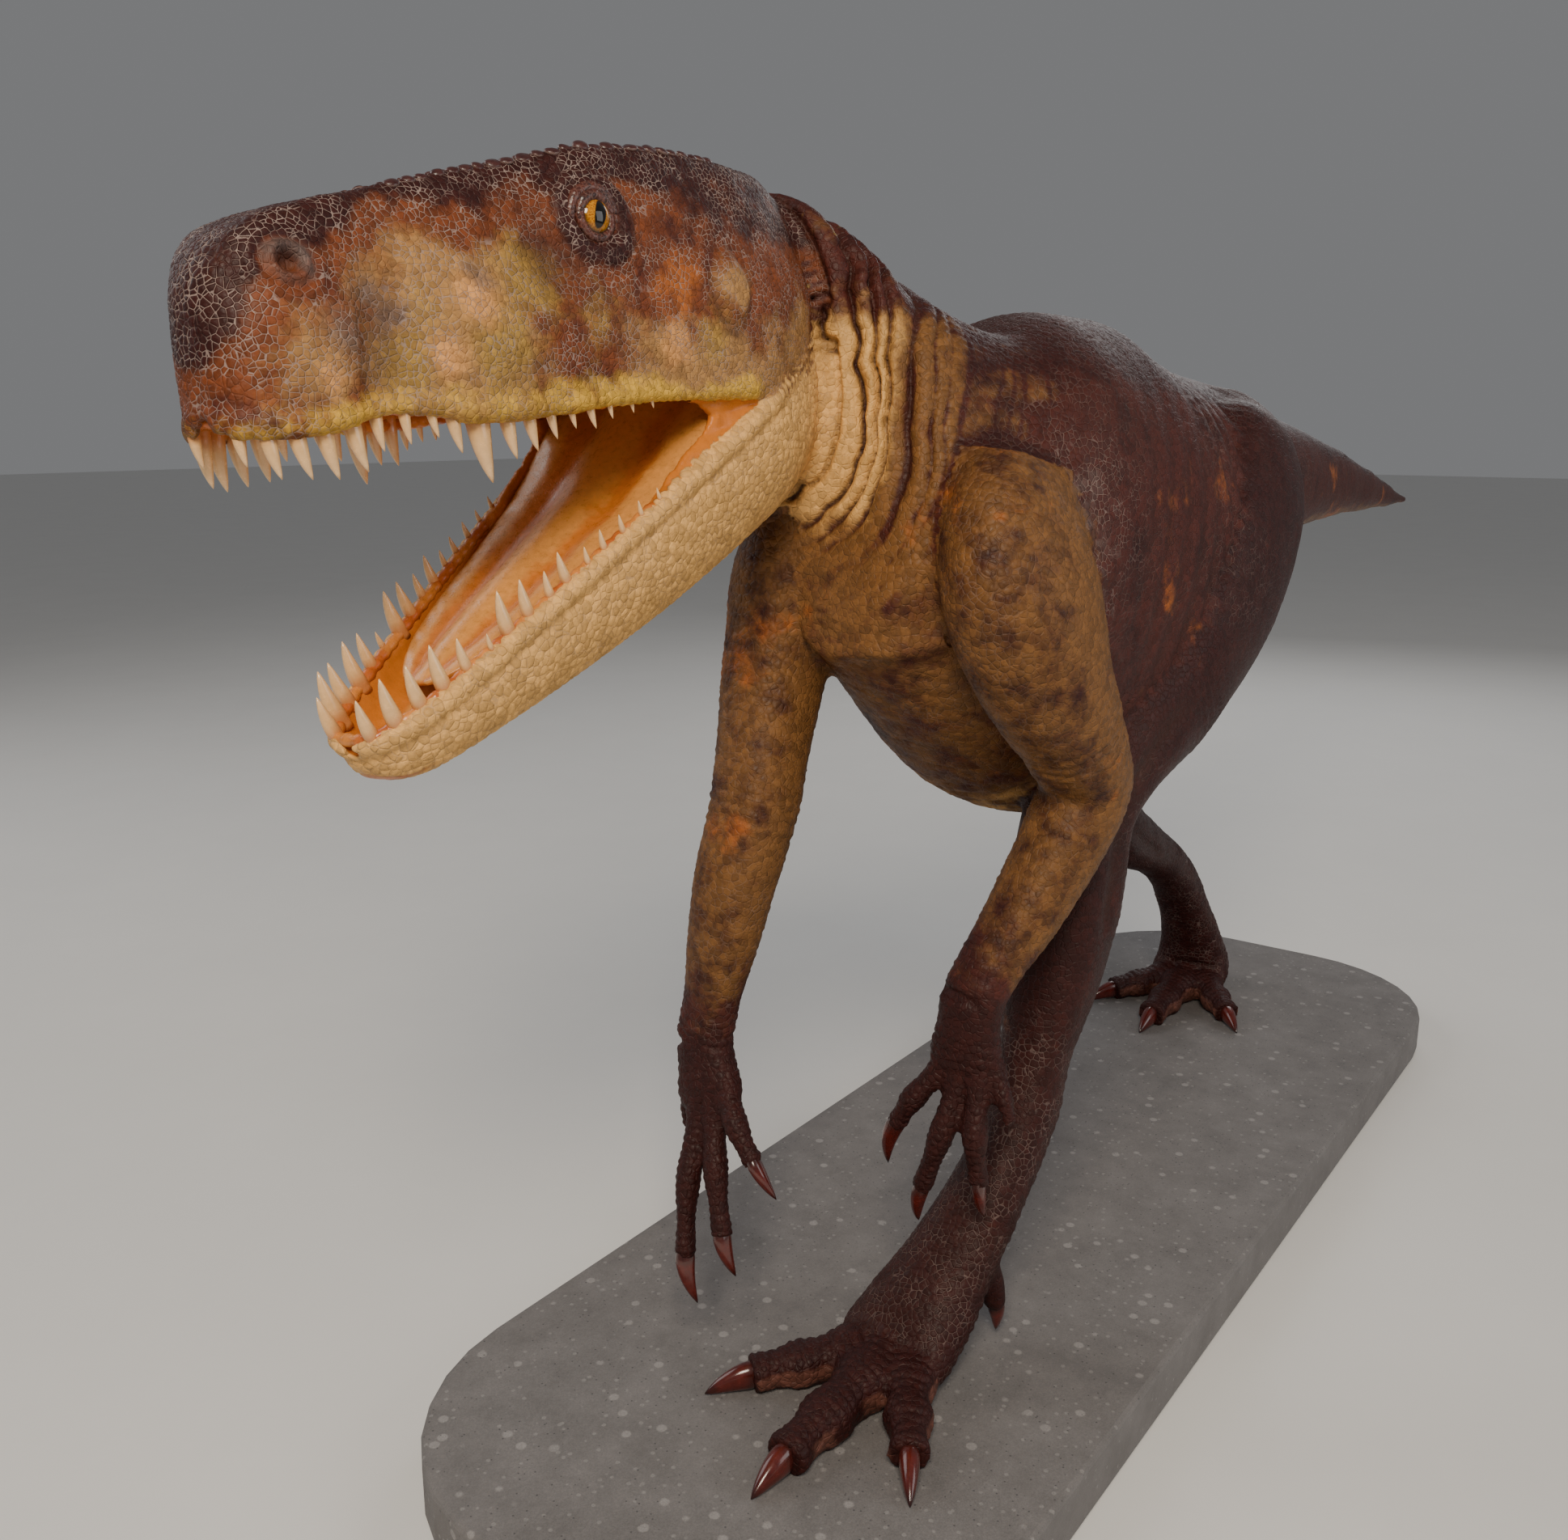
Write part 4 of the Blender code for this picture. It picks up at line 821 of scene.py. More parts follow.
def fold_limbs(f):
    """Creases at the joints, a groove down each shank, cross scutes on insteps, toes and fingers."""
    along, rise = f.along, f.rise
    ripple = along + 0.008 * noise(f.points, 0.04, 41)
    for label, marks in (("arm_left", (0.30, 0.33, 0.62)), ("arm_right", (0.36, 0.39, 0.66)),
                         ("leg_left", (0.50, 0.54, 0.88, 1.02)), ("leg_right", (0.52, 0.66, 1.00, 1.14))):
        for mark in marks:
            near = f.places.on(label) * gauss(along - mark, 0.030)
            f.lift += 0.0032 * near * (folds(ripple, 0.012, 0.6) - 0.6)
    shank = f.leg * ramp(along, 0.55, 0.62) * ramp(along, 0.92, 0.86)
    f.lift -= 0.0050 * shank * gauss(rise + 0.15, 0.16) * ramp(np.abs(f.places.side), 0.5, 0.9)
    f.lift += 0.0030 * shank * gauss(rise - 0.30, 0.22)
    bands = folds(along + 0.003 * noise(f.points, 0.02, 51), 0.015, 0.6) - 0.6
    f.lift += 0.0024 * f.instep * bands * ramp(rise, 0.0, 0.4)
    bands = folds(along + 0.002 * noise(f.points, 0.02, 52), 0.0125, 0.5) - 0.6
    f.lift += 0.0028 * f.toe * bands * ramp(rise, 0.1, 0.6)
    f.lift += 0.0016 * f.toe * noise(f.points, 0.008, 53) * ramp(rise, 0.4, 0.0)
    f.lift += 0.0018 * f.finger * (folds(along, 0.0090, 0.5) - 0.6)
    f.lift += 0.0020 * f.palm * (folds(along + 0.004 * noise(f.points, 0.02, 54), 0.012, 0.6) - 0.6)


def shape_lips(f):
    """Upright scutes along both lips, and the swell of the lips."""
    f.lip_height = f.c - f.lip_z
    band = f.head * ramp(f.lip_height, -0.004, 0.001) * ramp(f.lip_height, 0.020, 0.012) * ramp(f.a, 0.02, 0.05)
    step = f.a + 0.0018 * noise(f.points, 0.03, 61)
    f.lift += 0.0018 * band * (folds(step, 0.0098, 0.4) - 0.55) * f.dry
    f.lift += 0.0030 * f.head * gauss(f.lip_height - 0.006, 0.009) * ramp(f.a, 0.0, 0.04) * f.dry
    low = f.jaw * ramp(f.jc, -0.017, -0.011) * ramp(f.ja, -0.02, 0.02) * f.dry
    f.lift += 0.0022 * low * (folds(f.ja + 0.001 * noise(f.points, 0.02, 62), 0.0100, 0.4) - 0.5)
    f.lift += 0.0022 * f.jaw * gauss(f.jc + 0.006, 0.006) * f.dry - 0.0014 * f.jaw * gauss(f.jc + 0.018, 0.003) * f.dry
    f.labial = np.maximum(band, low)


def shape_face(f):
    """Hollow behind the snout's tip, bulge of the upper jaw, cheek ridge, ear pad, lids and nostrils."""
    a, c = f.a, f.c
    skin = f.head * f.dry
    wave = a + 0.010 * noise(f.points, 0.05, 66)
    step = ramp(wave + 0.10 * (c - 0.06), 0.462, 0.440) * ramp(wave + 0.10 * (c - 0.06), 0.402, 0.422)
    f.lift -= 0.0052 * skin * f.flat * step * gauss(c - 0.060, 0.065)
    f.lift += 0.0060 * skin * f.flat * gauss(a - 0.352, 0.040) * gauss(c - 0.060, 0.055)
    f.lift -= 0.0075 * skin * f.flat * gauss(a - 0.262, 0.042) * gauss(c - 0.118, 0.030)
    f.lift += 0.0045 * skin * gauss(a - 0.060, 0.030) * gauss(c - 0.105, 0.036)
    ear = np.hypot((a - 0.055) / 0.020, (c - 0.098) / 0.030)
    f.lift += skin * f.flat * (0.0040 * ramp(ear, 1.15, 0.70) - 0.0018 * gauss(ear - 1.3, 0.25))
    f.lift += 0.0022 * skin * fractal(f.points, 0.032, 65, 2)
    at_side = ramp(f.side, 0.035, 0.05)
    ring = f.eye + 0.0022 * noise(f.points, 0.016, 71)
    f.near_eye = ramp(f.eye, 0.076, 0.040) * f.head * at_side
    f.lift += 0.0030 * f.near_eye * (folds(ring - 0.0035, 0.0094, 0.5) - 0.55) * ramp(f.eye, 0.020, 0.026)
    spoke = np.arctan2(c - EYE_AT.z, a - EYE_AT.x) + 0.2 * noise(f.points, 0.02, 72)
    f.lift += 0.0010 * f.near_eye * (folds(spoke, 0.22, 0.7) - 0.6) * ramp(f.eye, 0.022, 0.028)
    f.lift += 0.0050 * f.head * gauss(f.eye - 0.031, 0.010) * at_side
    on_side = f.head * ramp(f.side, 0.012, 0.020)
    calm = 1.0 - on_side * ramp(f.nostril, 0.034, 0.022)
    f.lift *= calm
    f.lift += on_side * (0.0052 * gauss(f.nostril - 0.0115, 0.0036) + 0.0026 * gauss(f.nostril - 0.0230, 0.0034))
    f.pit = on_side * ramp(f.nostril, 0.0085, 0.0040)
    f.lift -= 0.0050 * f.pit
    f.nostril_near = on_side * ramp(f.nostril, 0.022, 0.016)


def shape_mouth(f):
    """Folds of the cheek web, ridges of the palate and soft lumps of the mouth's lining."""
    ridges = folds(f.a + 0.3 * f.side + 0.004 * noise(f.points, 0.03, 81), 0.020, 0.9) - 0.6
    f.lift += 0.0018 * f.upper_lining * ridges * ramp(f.c, 0.005, 0.02)
    turn = np.arctan2(f.c, f.a + 0.03) + 0.05 * noise(f.points, 0.02, 83)
    f.lift += 0.0018 * f.cheek_web * (folds(turn, 0.14, 0.8) - 0.6)
    f.lift += 0.0014 * f.lining * fractal(f.points, 0.018, 82, 2)


def sink_sockets(moved):
    """Moves what lies in front of an eyeball behind it."""
    for sign in (1, -1):
        centre = np.array([EYE_AT.x, sign * EYE_AT.y, EYE_AT.z])
        out = np.array(Vector((0.18, sign, 0.10)).normalized())
        local = placed(HEAD.inverted(), moved) - centre
        depth = local @ out
        across = np.linalg.norm(local - depth[:, None] * out, axis=1)
        inside = (across < EYE_RADIUS * 0.82) & (depth > -EYE_RADIUS) & (depth < 0.05)
        back = -np.sqrt(np.clip((EYE_RADIUS + 0.001) ** 2 - across ** 2, 0, None))
        shift = np.where(inside, back - depth, 0.0)
        moved += shift[:, None] * np.array(HEAD.to_3x3() @ Vector(out))


def paint_head(f):
    """Dark maroon snout and crown, tan and olive side, orange cheek, yellow lips."""
    a, c = f.a, f.c
    skin = f.head * f.dry
    mid_z = column_at(HEAD_SECTIONS, a, 7)
    height = np.clip((c - f.lip_z) / (mid_z - f.lip_z), 0, 1.2)
    rag = fractal(f.points, 0.06, 91, 3)

    def spot(at, high, size, strength=1.0):
        return skin * strength * gauss(np.hypot(a - at, c - high), size)

    tan = gauss(a - 0.375, 0.085) * ramp(height + 0.12 * rag, 0.88, 0.62) * ramp(a, 0.23, 0.29)
    f.mask("tan", skin * tan, skin * 0.8 * ramp(a, 0.24, 0.18) * ramp(height + 0.20 * rag, 0.58, 0.12), spot(0.055, 0.098, 0.026),
           spot(0.49, 0.035, 0.040, 0.8), spot(0.0, 0.02, 0.04, 0.9))
    f.mask("olive", spot(0.295, 0.100, 0.034), spot(0.335, 0.050, 0.040, 0.9), spot(0.090, 0.055, 0.028, 0.6),
           spot(0.235, 0.070, 0.035, 0.5), spot(0.42, 0.035, 0.034, 0.9), spot(0.40, 0.075, 0.03, 0.5))
    f.mask("orange", spot(0.138, 0.085, 0.026), spot(0.112, 0.108, 0.024), spot(0.255, 0.105, 0.026, 0.9),
           spot(0.195, 0.110, 0.022, 0.7), spot(0.400, 0.120, 0.030, 0.45), spot(0.53, 0.045, 0.030, 0.6),
           spot(-0.01, 0.15, 0.04, 0.6), spot(0.505, 0.060, 0.030, 0.7), f.pit * 0.6, spot(0.43, 0.11, 0.03, 0.6))
    f.mask("peach", spot(0.135, 0.050, 0.022), spot(0.352, 0.082, 0.026, 0.8), spot(0.385, 0.040, 0.022, 0.8),
           spot(0.485, 0.028, 0.018, 0.7))
    f.mask("red", skin * 0.62, skin * 0.95 * gauss(f.eye - 0.02, 0.065), skin * 0.9 * ramp(height, 0.58, 0.80) * ramp(a, 0.52, 0.40),
           skin * ramp(a, 0.475, 0.53) * ramp(height, 0.10, 0.35), skin * 0.9 * ramp(a, 0.10, 0.0) * ramp(height, 0.20, 0.5),
           spot(0.100, 0.075, 0.030, 0.8), spot(0.165, 0.075, 0.022, 0.7))
    top = ramp(height + 0.14 * ramp(a, 0.42, 0.53) + 0.14 * rag, 0.80, 0.98)
    f.mask("dark", skin * top, skin * 0.9 * ramp(a + 0.01 * rag, 0.515, 0.550) * ramp(height, 0.35, 0.65),
           skin * 0.95 * gauss(f.eye - 0.030, 0.014), skin * 0.7 * ramp(height, 0.55, 0.75) * ramp(a, 0.16, 0.06),
           skin * 0.3 * gauss(ear_gap(a, c), 0.25))
    f.masks["dark"] *= 1 - 0.75 * f.nostril_near
    f.mask("lilac", spot(0.435, 0.075, 0.030, 0.5), spot(0.470, 0.055, 0.026, 0.5), spot(0.30, 0.06, 0.025, 0.4),
           spot(0.345, 0.100, 0.020, 0.4), (f.nostril_near - f.pit) * 0.5)
    band = ramp(f.lip_height + 0.016 * noise(f.points, 0.05, 92) + 0.007 * noise(f.points, 0.018, 98), 0.032, 0.006)
    band *= (1 - 0.60 * ramp(a, 0.46, 0.52)) * (0.72 + 0.45 * noise(f.points, 0.09, 90))
    f.mask("yellow", skin * band * ramp(a, 0.0, 0.05))
    f.mask("cream", f.jaw * f.dry)


def ear_gap(a, c):
    """0 on the ring round the ear pad, in units of the pad's size."""
    return np.hypot((a - 0.055) / 0.020, (c - 0.098) / 0.030) - 1.35


def paint_body(f):
    """Cream throat folds, ochre chest and arms, maroon body, dark back, purple-brown hands and feet, and painted shade
    in the neck's fold gaps and under the throat flap.
    """
    x, z, up = f.points[:, 0], f.points[:, 2], f.facing[:, 2]
    rag = fractal(f.points, 0.09, 101, 3)
    away = f.from_head
    low = ramp(f.c + 0.035 * rag, 0.115, 0.045)
    ridge = 0.25 + 0.75 * f.ridge
    f.mask("cream", f.neck * low * ridge * f.upright * ramp(away + 0.03 * rag, 0.105, 0.060), f.belly * 0.45)
    f.mask("ochre", f.neck * low * ridge * ramp(away + 0.06 * rag, 0.22, 0.13), f.chest * ramp(x, -0.30, -0.40) * 0.6,
           0.6 * f.trunk * ramp(up, -0.3, -0.8),
           f.arm * ramp(f.along + 0.10 * rag, 0.66, 0.50) * 0.95,
           f.neck * 0.7 * f.ridge * ramp(noise(f.points, 0.04, 94), -0.2, 0.4) * ramp(f.c, 0.22, 0.12))
    patch = ramp(rag, 0.20, 0.62)
    f.mask("orange", 0.40 * f.trunk * patch * ramp(z, 1.16, 1.05), 0.3 * f.leg * patch, 0.45 * f.arm * patch)
    f.mask("lilac", 0.4 * gauss(np.hypot(x + 0.40, (z - 1.02) * 0.8), 0.10) * (f.trunk + f.arm) * ramp(rag, -0.6, 0.3),
           f.palm * 0.3)
    back = ramp(up + 0.35 * rag, 0.25, 0.85)
    # The dark paint is the figure's own colour, and painted shade where it follows the fold gaps and the shadow under
    # the throat flap.
    f.mask("dark", 0.85 * f.gap, 0.80 * f.leg, 0.40 * f.arm * ramp(f.rise + 0.4 * rag, 0.0, -0.60),
           f.trunk * back * 0.85 * (1 - 0.4 * ramp(away, 0.20, 0.05)), 0.9 * (f.palm + f.finger),
           0.75 * f.arm * ramp(f.along + 0.06 * rag, 0.56, 0.70), 0.85 * (f.toe + f.spur + f.instep),
           0.6 * f.trunk * ramp(rag, 0.1, -0.5) * ramp(away, 0.12, 0.25))
    f.mask("lobe", f.toe * ramp(np.abs(f.places.side), 0.72, 0.95) * ramp(up, 0.5, 0.1)
           * ramp(noise(f.points, 0.03, 96), -0.7, 0.1))
    streak = gauss(f.b + 0.006 * noise(f.points, 0.03, 93), 0.009) * ramp(f.a, 0.02, -0.06) * (f.head + f.trunk)
    streak *= ramp(away, 0.5, 0.2) * ramp(noise(f.points, 0.03, 95), -0.5, 0.2)
    flecks = f.neck * ramp(noise(f.points, 0.018, 97), 0.35, 0.6) * ramp(away, 0.13, 0.09)
    f.mask("fleck", 0.8 * streak, 0.35 * flecks * ramp(f.c, 0.06, 0.10) * ramp(f.c, 0.2, 0.15))


def mark_relief(f, soft):
    """Masks for the lines between scales, painted shade in creases and dents, the mouth's lining and the depth of the
    scales.
    """
    head = f.head * f.dry
    worn = ramp(noise(f.points, 0.12, 99), -0.3, 0.5)
    shoulder = gauss(np.hypot(f.points[:, 0] + 0.36, (f.points[:, 2] - 1.06) * 0.7), 0.10) * f.trunk
    crackle = head * (0.80 + 0.20 * np.maximum(f.masks["dark"], f.masks["red"])) * (1 - 0.6 * f.masks["yellow"])
    crackle *= 1 - 0.9 * f.nostril_near
    f.mask("crackle", crackle, 0.7 * shoulder, 0.22 * (f.trunk + f.leg + f.arm) * worn * ramp(f.from_head, 0.10, 0.25),
           0.35 * f.jaw * f.dry, 0.4 * f.instep)
    f.mask("fine", f.head)
    # Painted shade: the dents of the relief, the nostril pits and the neck's fold gaps darken the paint.
    dent_shade = np.clip(-soft / 0.0060, 0, 1)
    f.masks["crease_shade"] = np.clip(relaxed(dent_shade, f.ends, 1) * 0.9 + 0.3 * f.pit + 0.8 * f.gap, 0, 1) * f.dry
    f.masks["lining"] = f.lining
    near_teeth = ramp(f.lip - f.side, 0.034, 0.014) * f.upper_lining
    trough = ramp(f.low_lip - np.abs(f.jb), 0.050, 0.026) * f.lower_lining
    f.masks["gum"] = np.clip(near_teeth + trough + 0.85 * f.cheek_web, 0, 1)
    depth = 0.0006 * f.head * f.dry + 0.0009 * f.jaw * f.dry + 0.0007 * (f.palm + f.finger + f.toe + f.instep)
    depth += 0.0008 * (f.arm + f.trunk * ramp(f.from_head, 0.05, 0.2) * ramp(f.points[:, 0], 0.3, -0.2))
    f.masks["scale_depth"] = depth * (1 - 0.8 * f.near_eye) * (1 - 0.8 * f.labial) * (1 - f.nostril_near)


def fold_skin(skin, lofts):
    """Folds and wrinkles the fused flesh and writes the masks that the paint follows."""
    f = Flesh(skin, lofts)
    for shape in (fold_body, fold_neck, fold_chest, fold_limbs, shape_lips, shape_face, shape_mouth):
        shape(f)
    soft = relaxed(f.lift, f.ends, 1, 0.5)
    moved = f.points + f.facing * soft[:, None]
    sink_sockets(moved)
    moved[:, 2] = np.maximum(moved[:, 2], FLOOR)
    moved[:, 0] = np.maximum(moved[:, 0], CAD_BOX[0][0] + 0.0005)
    set_coordinates(skin, moved)
    paint_head(f)
    paint_body(f)
    mark_relief(f, soft)
    for name, values in f.masks.items():
        if name not in ("crease_shade", "lining", "gum"):
            values = relaxed(values, f.ends, 3)
        add_mask(skin, name, np.clip(values, 0, 1))


def linked_math(tree, operation, first, second):
    """A Math node in a tree of geometry nodes, from sockets or numbers."""
    node = tree.nodes.new("ShaderNodeMath")
    node.operation = operation
    for slot, value in enumerate((first, second)):
        if isinstance(value, (int, float)):
            node.inputs[slot].default_value = value
        else:
            tree.links.new(value, node.inputs[slot])
    return node.outputs["Value"]


def raise_scales(skin):
    """Lifts domed polygonal scales by Geometry Nodes, deep as the mask scale_depth says."""
    tree = bpy.data.node_groups.new("Raised scales", "GeometryNodeTree")
    tree.interface.new_socket("Geometry", in_out="INPUT", socket_type="NodeSocketGeometry")
    tree.interface.new_socket("Geometry", in_out="OUTPUT", socket_type="NodeSocketGeometry")
    nodes, links = tree.nodes, tree.links
    start, end = nodes.new("NodeGroupInput"), nodes.new("NodeGroupOutput")
    masks = {}
    for name in ("scale_depth", "fine"):
        masks[name] = nodes.new("GeometryNodeInputNamedAttribute")
        masks[name].data_type = "FLOAT"
        masks[name].inputs["Name"].default_value = name
    total = 0.0
    for per_metre in (FINE_SCALES, BROAD_SCALES):
        cells = nodes.new("ShaderNodeTexVoronoi")
        cells.feature = "DISTANCE_TO_EDGE"
        cells.inputs["Scale"].default_value = per_metre
        cells.inputs["Randomness"].default_value = SCALE_RANDOMNESS
        crown = nodes.new("ShaderNodeMapRange")
        crown.interpolation_type = "SMOOTHSTEP"
        for socket, number in (("From Min", 0.0), ("From Max", 0.30), ("To Min", -0.7), ("To Max", 0.3)):
            crown.inputs[socket].default_value = number
        links.new(cells.outputs["Distance"], crown.inputs["Value"])
        share = masks["fine"].outputs["Attribute"]
        if per_metre == BROAD_SCALES:
            share = linked_math(tree, "SUBTRACT", 1.0, share)
        total = linked_math(tree, "ADD", linked_math(tree, "MULTIPLY", crown.outputs["Result"], share), total)
    height = linked_math(tree, "MULTIPLY", total, masks["scale_depth"].outputs["Attribute"])
    normal = nodes.new("GeometryNodeInputNormal")
    offset = nodes.new("ShaderNodeVectorMath")
    offset.operation = "SCALE"
    links.new(normal.outputs["Normal"], offset.inputs[0])
    links.new(height, offset.inputs["Scale"])
    place = nodes.new("GeometryNodeSetPosition")
    links.new(start.outputs["Geometry"], place.inputs["Geometry"])
    links.new(offset.outputs["Vector"], place.inputs["Offset"])
    links.new(place.outputs["Geometry"], end.inputs["Geometry"])
    modifier = skin.modifiers.new("scales", "NODES")
    modifier.node_group = tree
    bake_modifiers(skin)


SCALE_RANDOMNESS = 0.88


def group_socket(tree, name, direction, kind, value=None):
    socket = tree.interface.new_socket(name, in_out=direction, socket_type=kind)
    if value is not None:
        socket.default_value = value
    return socket


def math_node(tree, operation, first, second=None, clamp=False):
    """A Math node whose inputs are numbers or sockets."""
    node = tree.nodes.new("ShaderNodeMath")
    node.operation = operation
    node.use_clamp = clamp
    for slot, value in enumerate((first, second)):
        if value is None:
            continue
        if isinstance(value, (int, float)):
            node.inputs[slot].default_value = value
        else:
            tree.links.new(value, node.inputs[slot])
    return node.outputs["Value"]


def map_range(tree, value, low, high, to_low=0.0, to_high=1.0):
    node = tree.nodes.new("ShaderNodeMapRange")
    node.interpolation_type = "SMOOTHSTEP"
    tree.links.new(value, node.inputs["Value"])
    for name, number in (("From Min", low), ("From Max", high), ("To Min", to_low), ("To Max", to_high)):
        node.inputs[name].default_value = number
    return node.outputs["Result"]


def mix_colours(tree, factor, first, second, blend="MIX"):
    """A colour mix whose factor and colours are values or sockets."""
    node = tree.nodes.new("ShaderNodeMix")
    node.data_type = "RGBA"
    node.blend_type = blend
    for slot, value in ((0, factor), (6, first), (7, second)):
        if isinstance(value, (int, float)):
            node.inputs[slot].default_value = value
        elif isinstance(value, tuple):
            node.inputs[slot].default_value = (*value, 1.0)
        else:
            tree.links.new(value, node.inputs[slot])
    return node.outputs[2]


def blended(tree, share, first, second):
    """The first value where share is 0 and the second where it is 1."""
    part = math_node(tree, "MULTIPLY", math_node(tree, "SUBTRACT", second, first), share)
    return math_node(tree, "ADD", first, part)


def grey_of(tree, value):
    """A grey with this value in all three channels."""
    grey = tree.nodes.new("ShaderNodeCombineColor")
    for name in ("Red", "Green", "Blue"):
        tree.links.new(value, grey.inputs[name])
    return grey.outputs["Color"]


def paint_layer_group():
    """Lays one paint over another where a ragged mask says."""
    tree = bpy.data.node_groups.new("Ragged paint layer", "ShaderNodeTree")
    group_socket(tree, "Under", "INPUT", "NodeSocketColor")
    group_socket(tree, "Paint", "INPUT", "NodeSocketColor")
    group_socket(tree, "Mask", "INPUT", "NodeSocketFloat", 0.0)
    group_socket(tree, "Blotches per metre", "INPUT", "NodeSocketFloat", 40.0)
    group_socket(tree, "Raggedness", "INPUT", "NodeSocketFloat", 0.5)
    group_socket(tree, "Colour", "OUTPUT", "NodeSocketColor")
    start, end = tree.nodes.new("NodeGroupInput"), tree.nodes.new("NodeGroupOutput")
    place = tree.nodes.new("ShaderNodeTexCoord")
    blotch = tree.nodes.new("ShaderNodeTexNoise")
    blotch.inputs["Detail"].default_value = 4.0
    blotch.inputs["Roughness"].default_value = 0.62
    tree.links.new(place.outputs["Object"], blotch.inputs["Vector"])
    tree.links.new(start.outputs["Blotches per metre"], blotch.inputs["Scale"])
    spread = math_node(tree, "SUBTRACT", blotch.outputs["Fac"], 0.5)
    spread = math_node(tree, "MULTIPLY", spread, start.outputs["Raggedness"])
    spread = math_node(tree, "MULTIPLY", spread, 2.6)
    edge = math_node(tree, "ADD", start.outputs["Mask"], spread)
    held = math_node(tree, "MULTIPLY", map_range(tree, edge, 0.18, 0.82),
                     map_range(tree, start.outputs["Mask"], 0.01, 0.14))
    tree.links.new(mix_colours(tree, held, start.outputs["Under"], start.outputs["Paint"]),
                   end.inputs["Colour"])
    return tree


def scale_pattern_group():
    """Polygonal scales: the lines between them, a value for each and their height."""
    tree = bpy.data.node_groups.new("Scale pattern", "ShaderNodeTree")
    group_socket(tree, "Scales per metre", "INPUT", "NodeSocketFloat", FINE_SCALES)
    group_socket(tree, "Line width", "INPUT", "NodeSocketFloat", 0.06)
    group_socket(tree, "Line", "OUTPUT", "NodeSocketFloat")
    group_socket(tree, "Cell", "OUTPUT", "NodeSocketFloat")
    group_socket(tree, "Height", "OUTPUT", "NodeSocketFloat")
    start, end = tree.nodes.new("NodeGroupInput"), tree.nodes.new("NodeGroupOutput")
    place = tree.nodes.new("ShaderNodeTexCoord")
    edges = tree.nodes.new("ShaderNodeTexVoronoi")
    edges.feature = "DISTANCE_TO_EDGE"
    cells = tree.nodes.new("ShaderNodeTexVoronoi")
    for node in (edges, cells):
        tree.links.new(place.outputs["Object"], node.inputs["Vector"])
        tree.links.new(start.outputs["Scales per metre"], node.inputs["Scale"])
        node.inputs["Randomness"].default_value = SCALE_RANDOMNESS
    share = math_node(tree, "DIVIDE", edges.outputs["Distance"], start.outputs["Line width"])
    tree.links.new(map_range(tree, share, 0.55, 1.25, 1.0, 0.0), end.inputs["Line"])
    value = tree.nodes.new("ShaderNodeSeparateColor")
    tree.links.new(cells.outputs["Color"], value.inputs["Color"])
    tree.links.new(value.outputs["Red"], end.inputs["Cell"])
    tree.links.new(map_range(tree, share, 0.3, 3.2), end.inputs["Height"])
    return tree


def grain_group():
    """Fine painted grain that breaks up colour and gloss."""
    tree = bpy.data.node_groups.new("Brushed grain", "ShaderNodeTree")
    group_socket(tree, "Colour", "INPUT", "NodeSocketColor")
    group_socket(tree, "Grains per metre", "INPUT", "NodeSocketFloat", 300.0)
    group_socket(tree, "Strength", "INPUT", "NodeSocketFloat", 0.3)
    group_socket(tree, "Colour", "OUTPUT", "NodeSocketColor")
    group_socket(tree, "Grain", "OUTPUT", "NodeSocketFloat")
    start, end = tree.nodes.new("NodeGroupInput"), tree.nodes.new("NodeGroupOutput")
    place = tree.nodes.new("ShaderNodeTexCoord")
    grain = tree.nodes.new("ShaderNodeTexNoise")
    grain.inputs["Detail"].default_value = 5.0
    grain.inputs["Roughness"].default_value = 0.7
    tree.links.new(place.outputs["Object"], grain.inputs["Vector"])
    tree.links.new(start.outputs["Grains per metre"], grain.inputs["Scale"])
    away = math_node(tree, "SUBTRACT", grain.outputs["Fac"], 0.5)
    away = math_node(tree, "MULTIPLY", away, start.outputs["Strength"])
    factor = math_node(tree, "ADD", math_node(tree, "MULTIPLY", away, 4.0), 1.0)
    tree.links.new(mix_colours(tree, 1.0, start.outputs["Colour"], grey_of(tree, factor), "MULTIPLY"),
                   end.inputs["Colour"])
    tree.links.new(grain.outputs["Fac"], end.inputs["Grain"])
    return tree


PAINT_LAYER = paint_layer_group()
SCALE_PATTERN = scale_pattern_group()
GRAIN = grain_group()


def new_finish(name):
    """A material with its tree and Principled shader."""
    finish = bpy.data.materials.new(name)
    finish.use_nodes = True
    return finish, finish.node_tree, finish.node_tree.nodes["Principled BSDF"]


def use_group(tree, group, **inputs):
    node = tree.nodes.new("ShaderNodeGroup")
    node.node_tree = group
    for name, value in inputs.items():
        socket = node.inputs[name.replace("_", " ")]
        if isinstance(value, tuple):
            socket.default_value = (*value, 1.0)
        elif isinstance(value, (int, float)):
            socket.default_value = value
        else:
            tree.links.new(value, socket)
    return node


def mask_of(tree, name):
    node = tree.nodes.new("ShaderNodeAttribute")
    node.attribute_name = name
    return node.outputs["Fac"]


def bump_from(tree, height, strength, distance, after=None):
    node = tree.nodes.new("ShaderNodeBump")
    node.inputs["Strength"].default_value = strength
    node.inputs["Distance"].default_value = distance
    tree.links.new(height, node.inputs["Height"])
    if after:
        tree.links.new(after, node.inputs["Normal"])
    return node.outputs["Normal"]


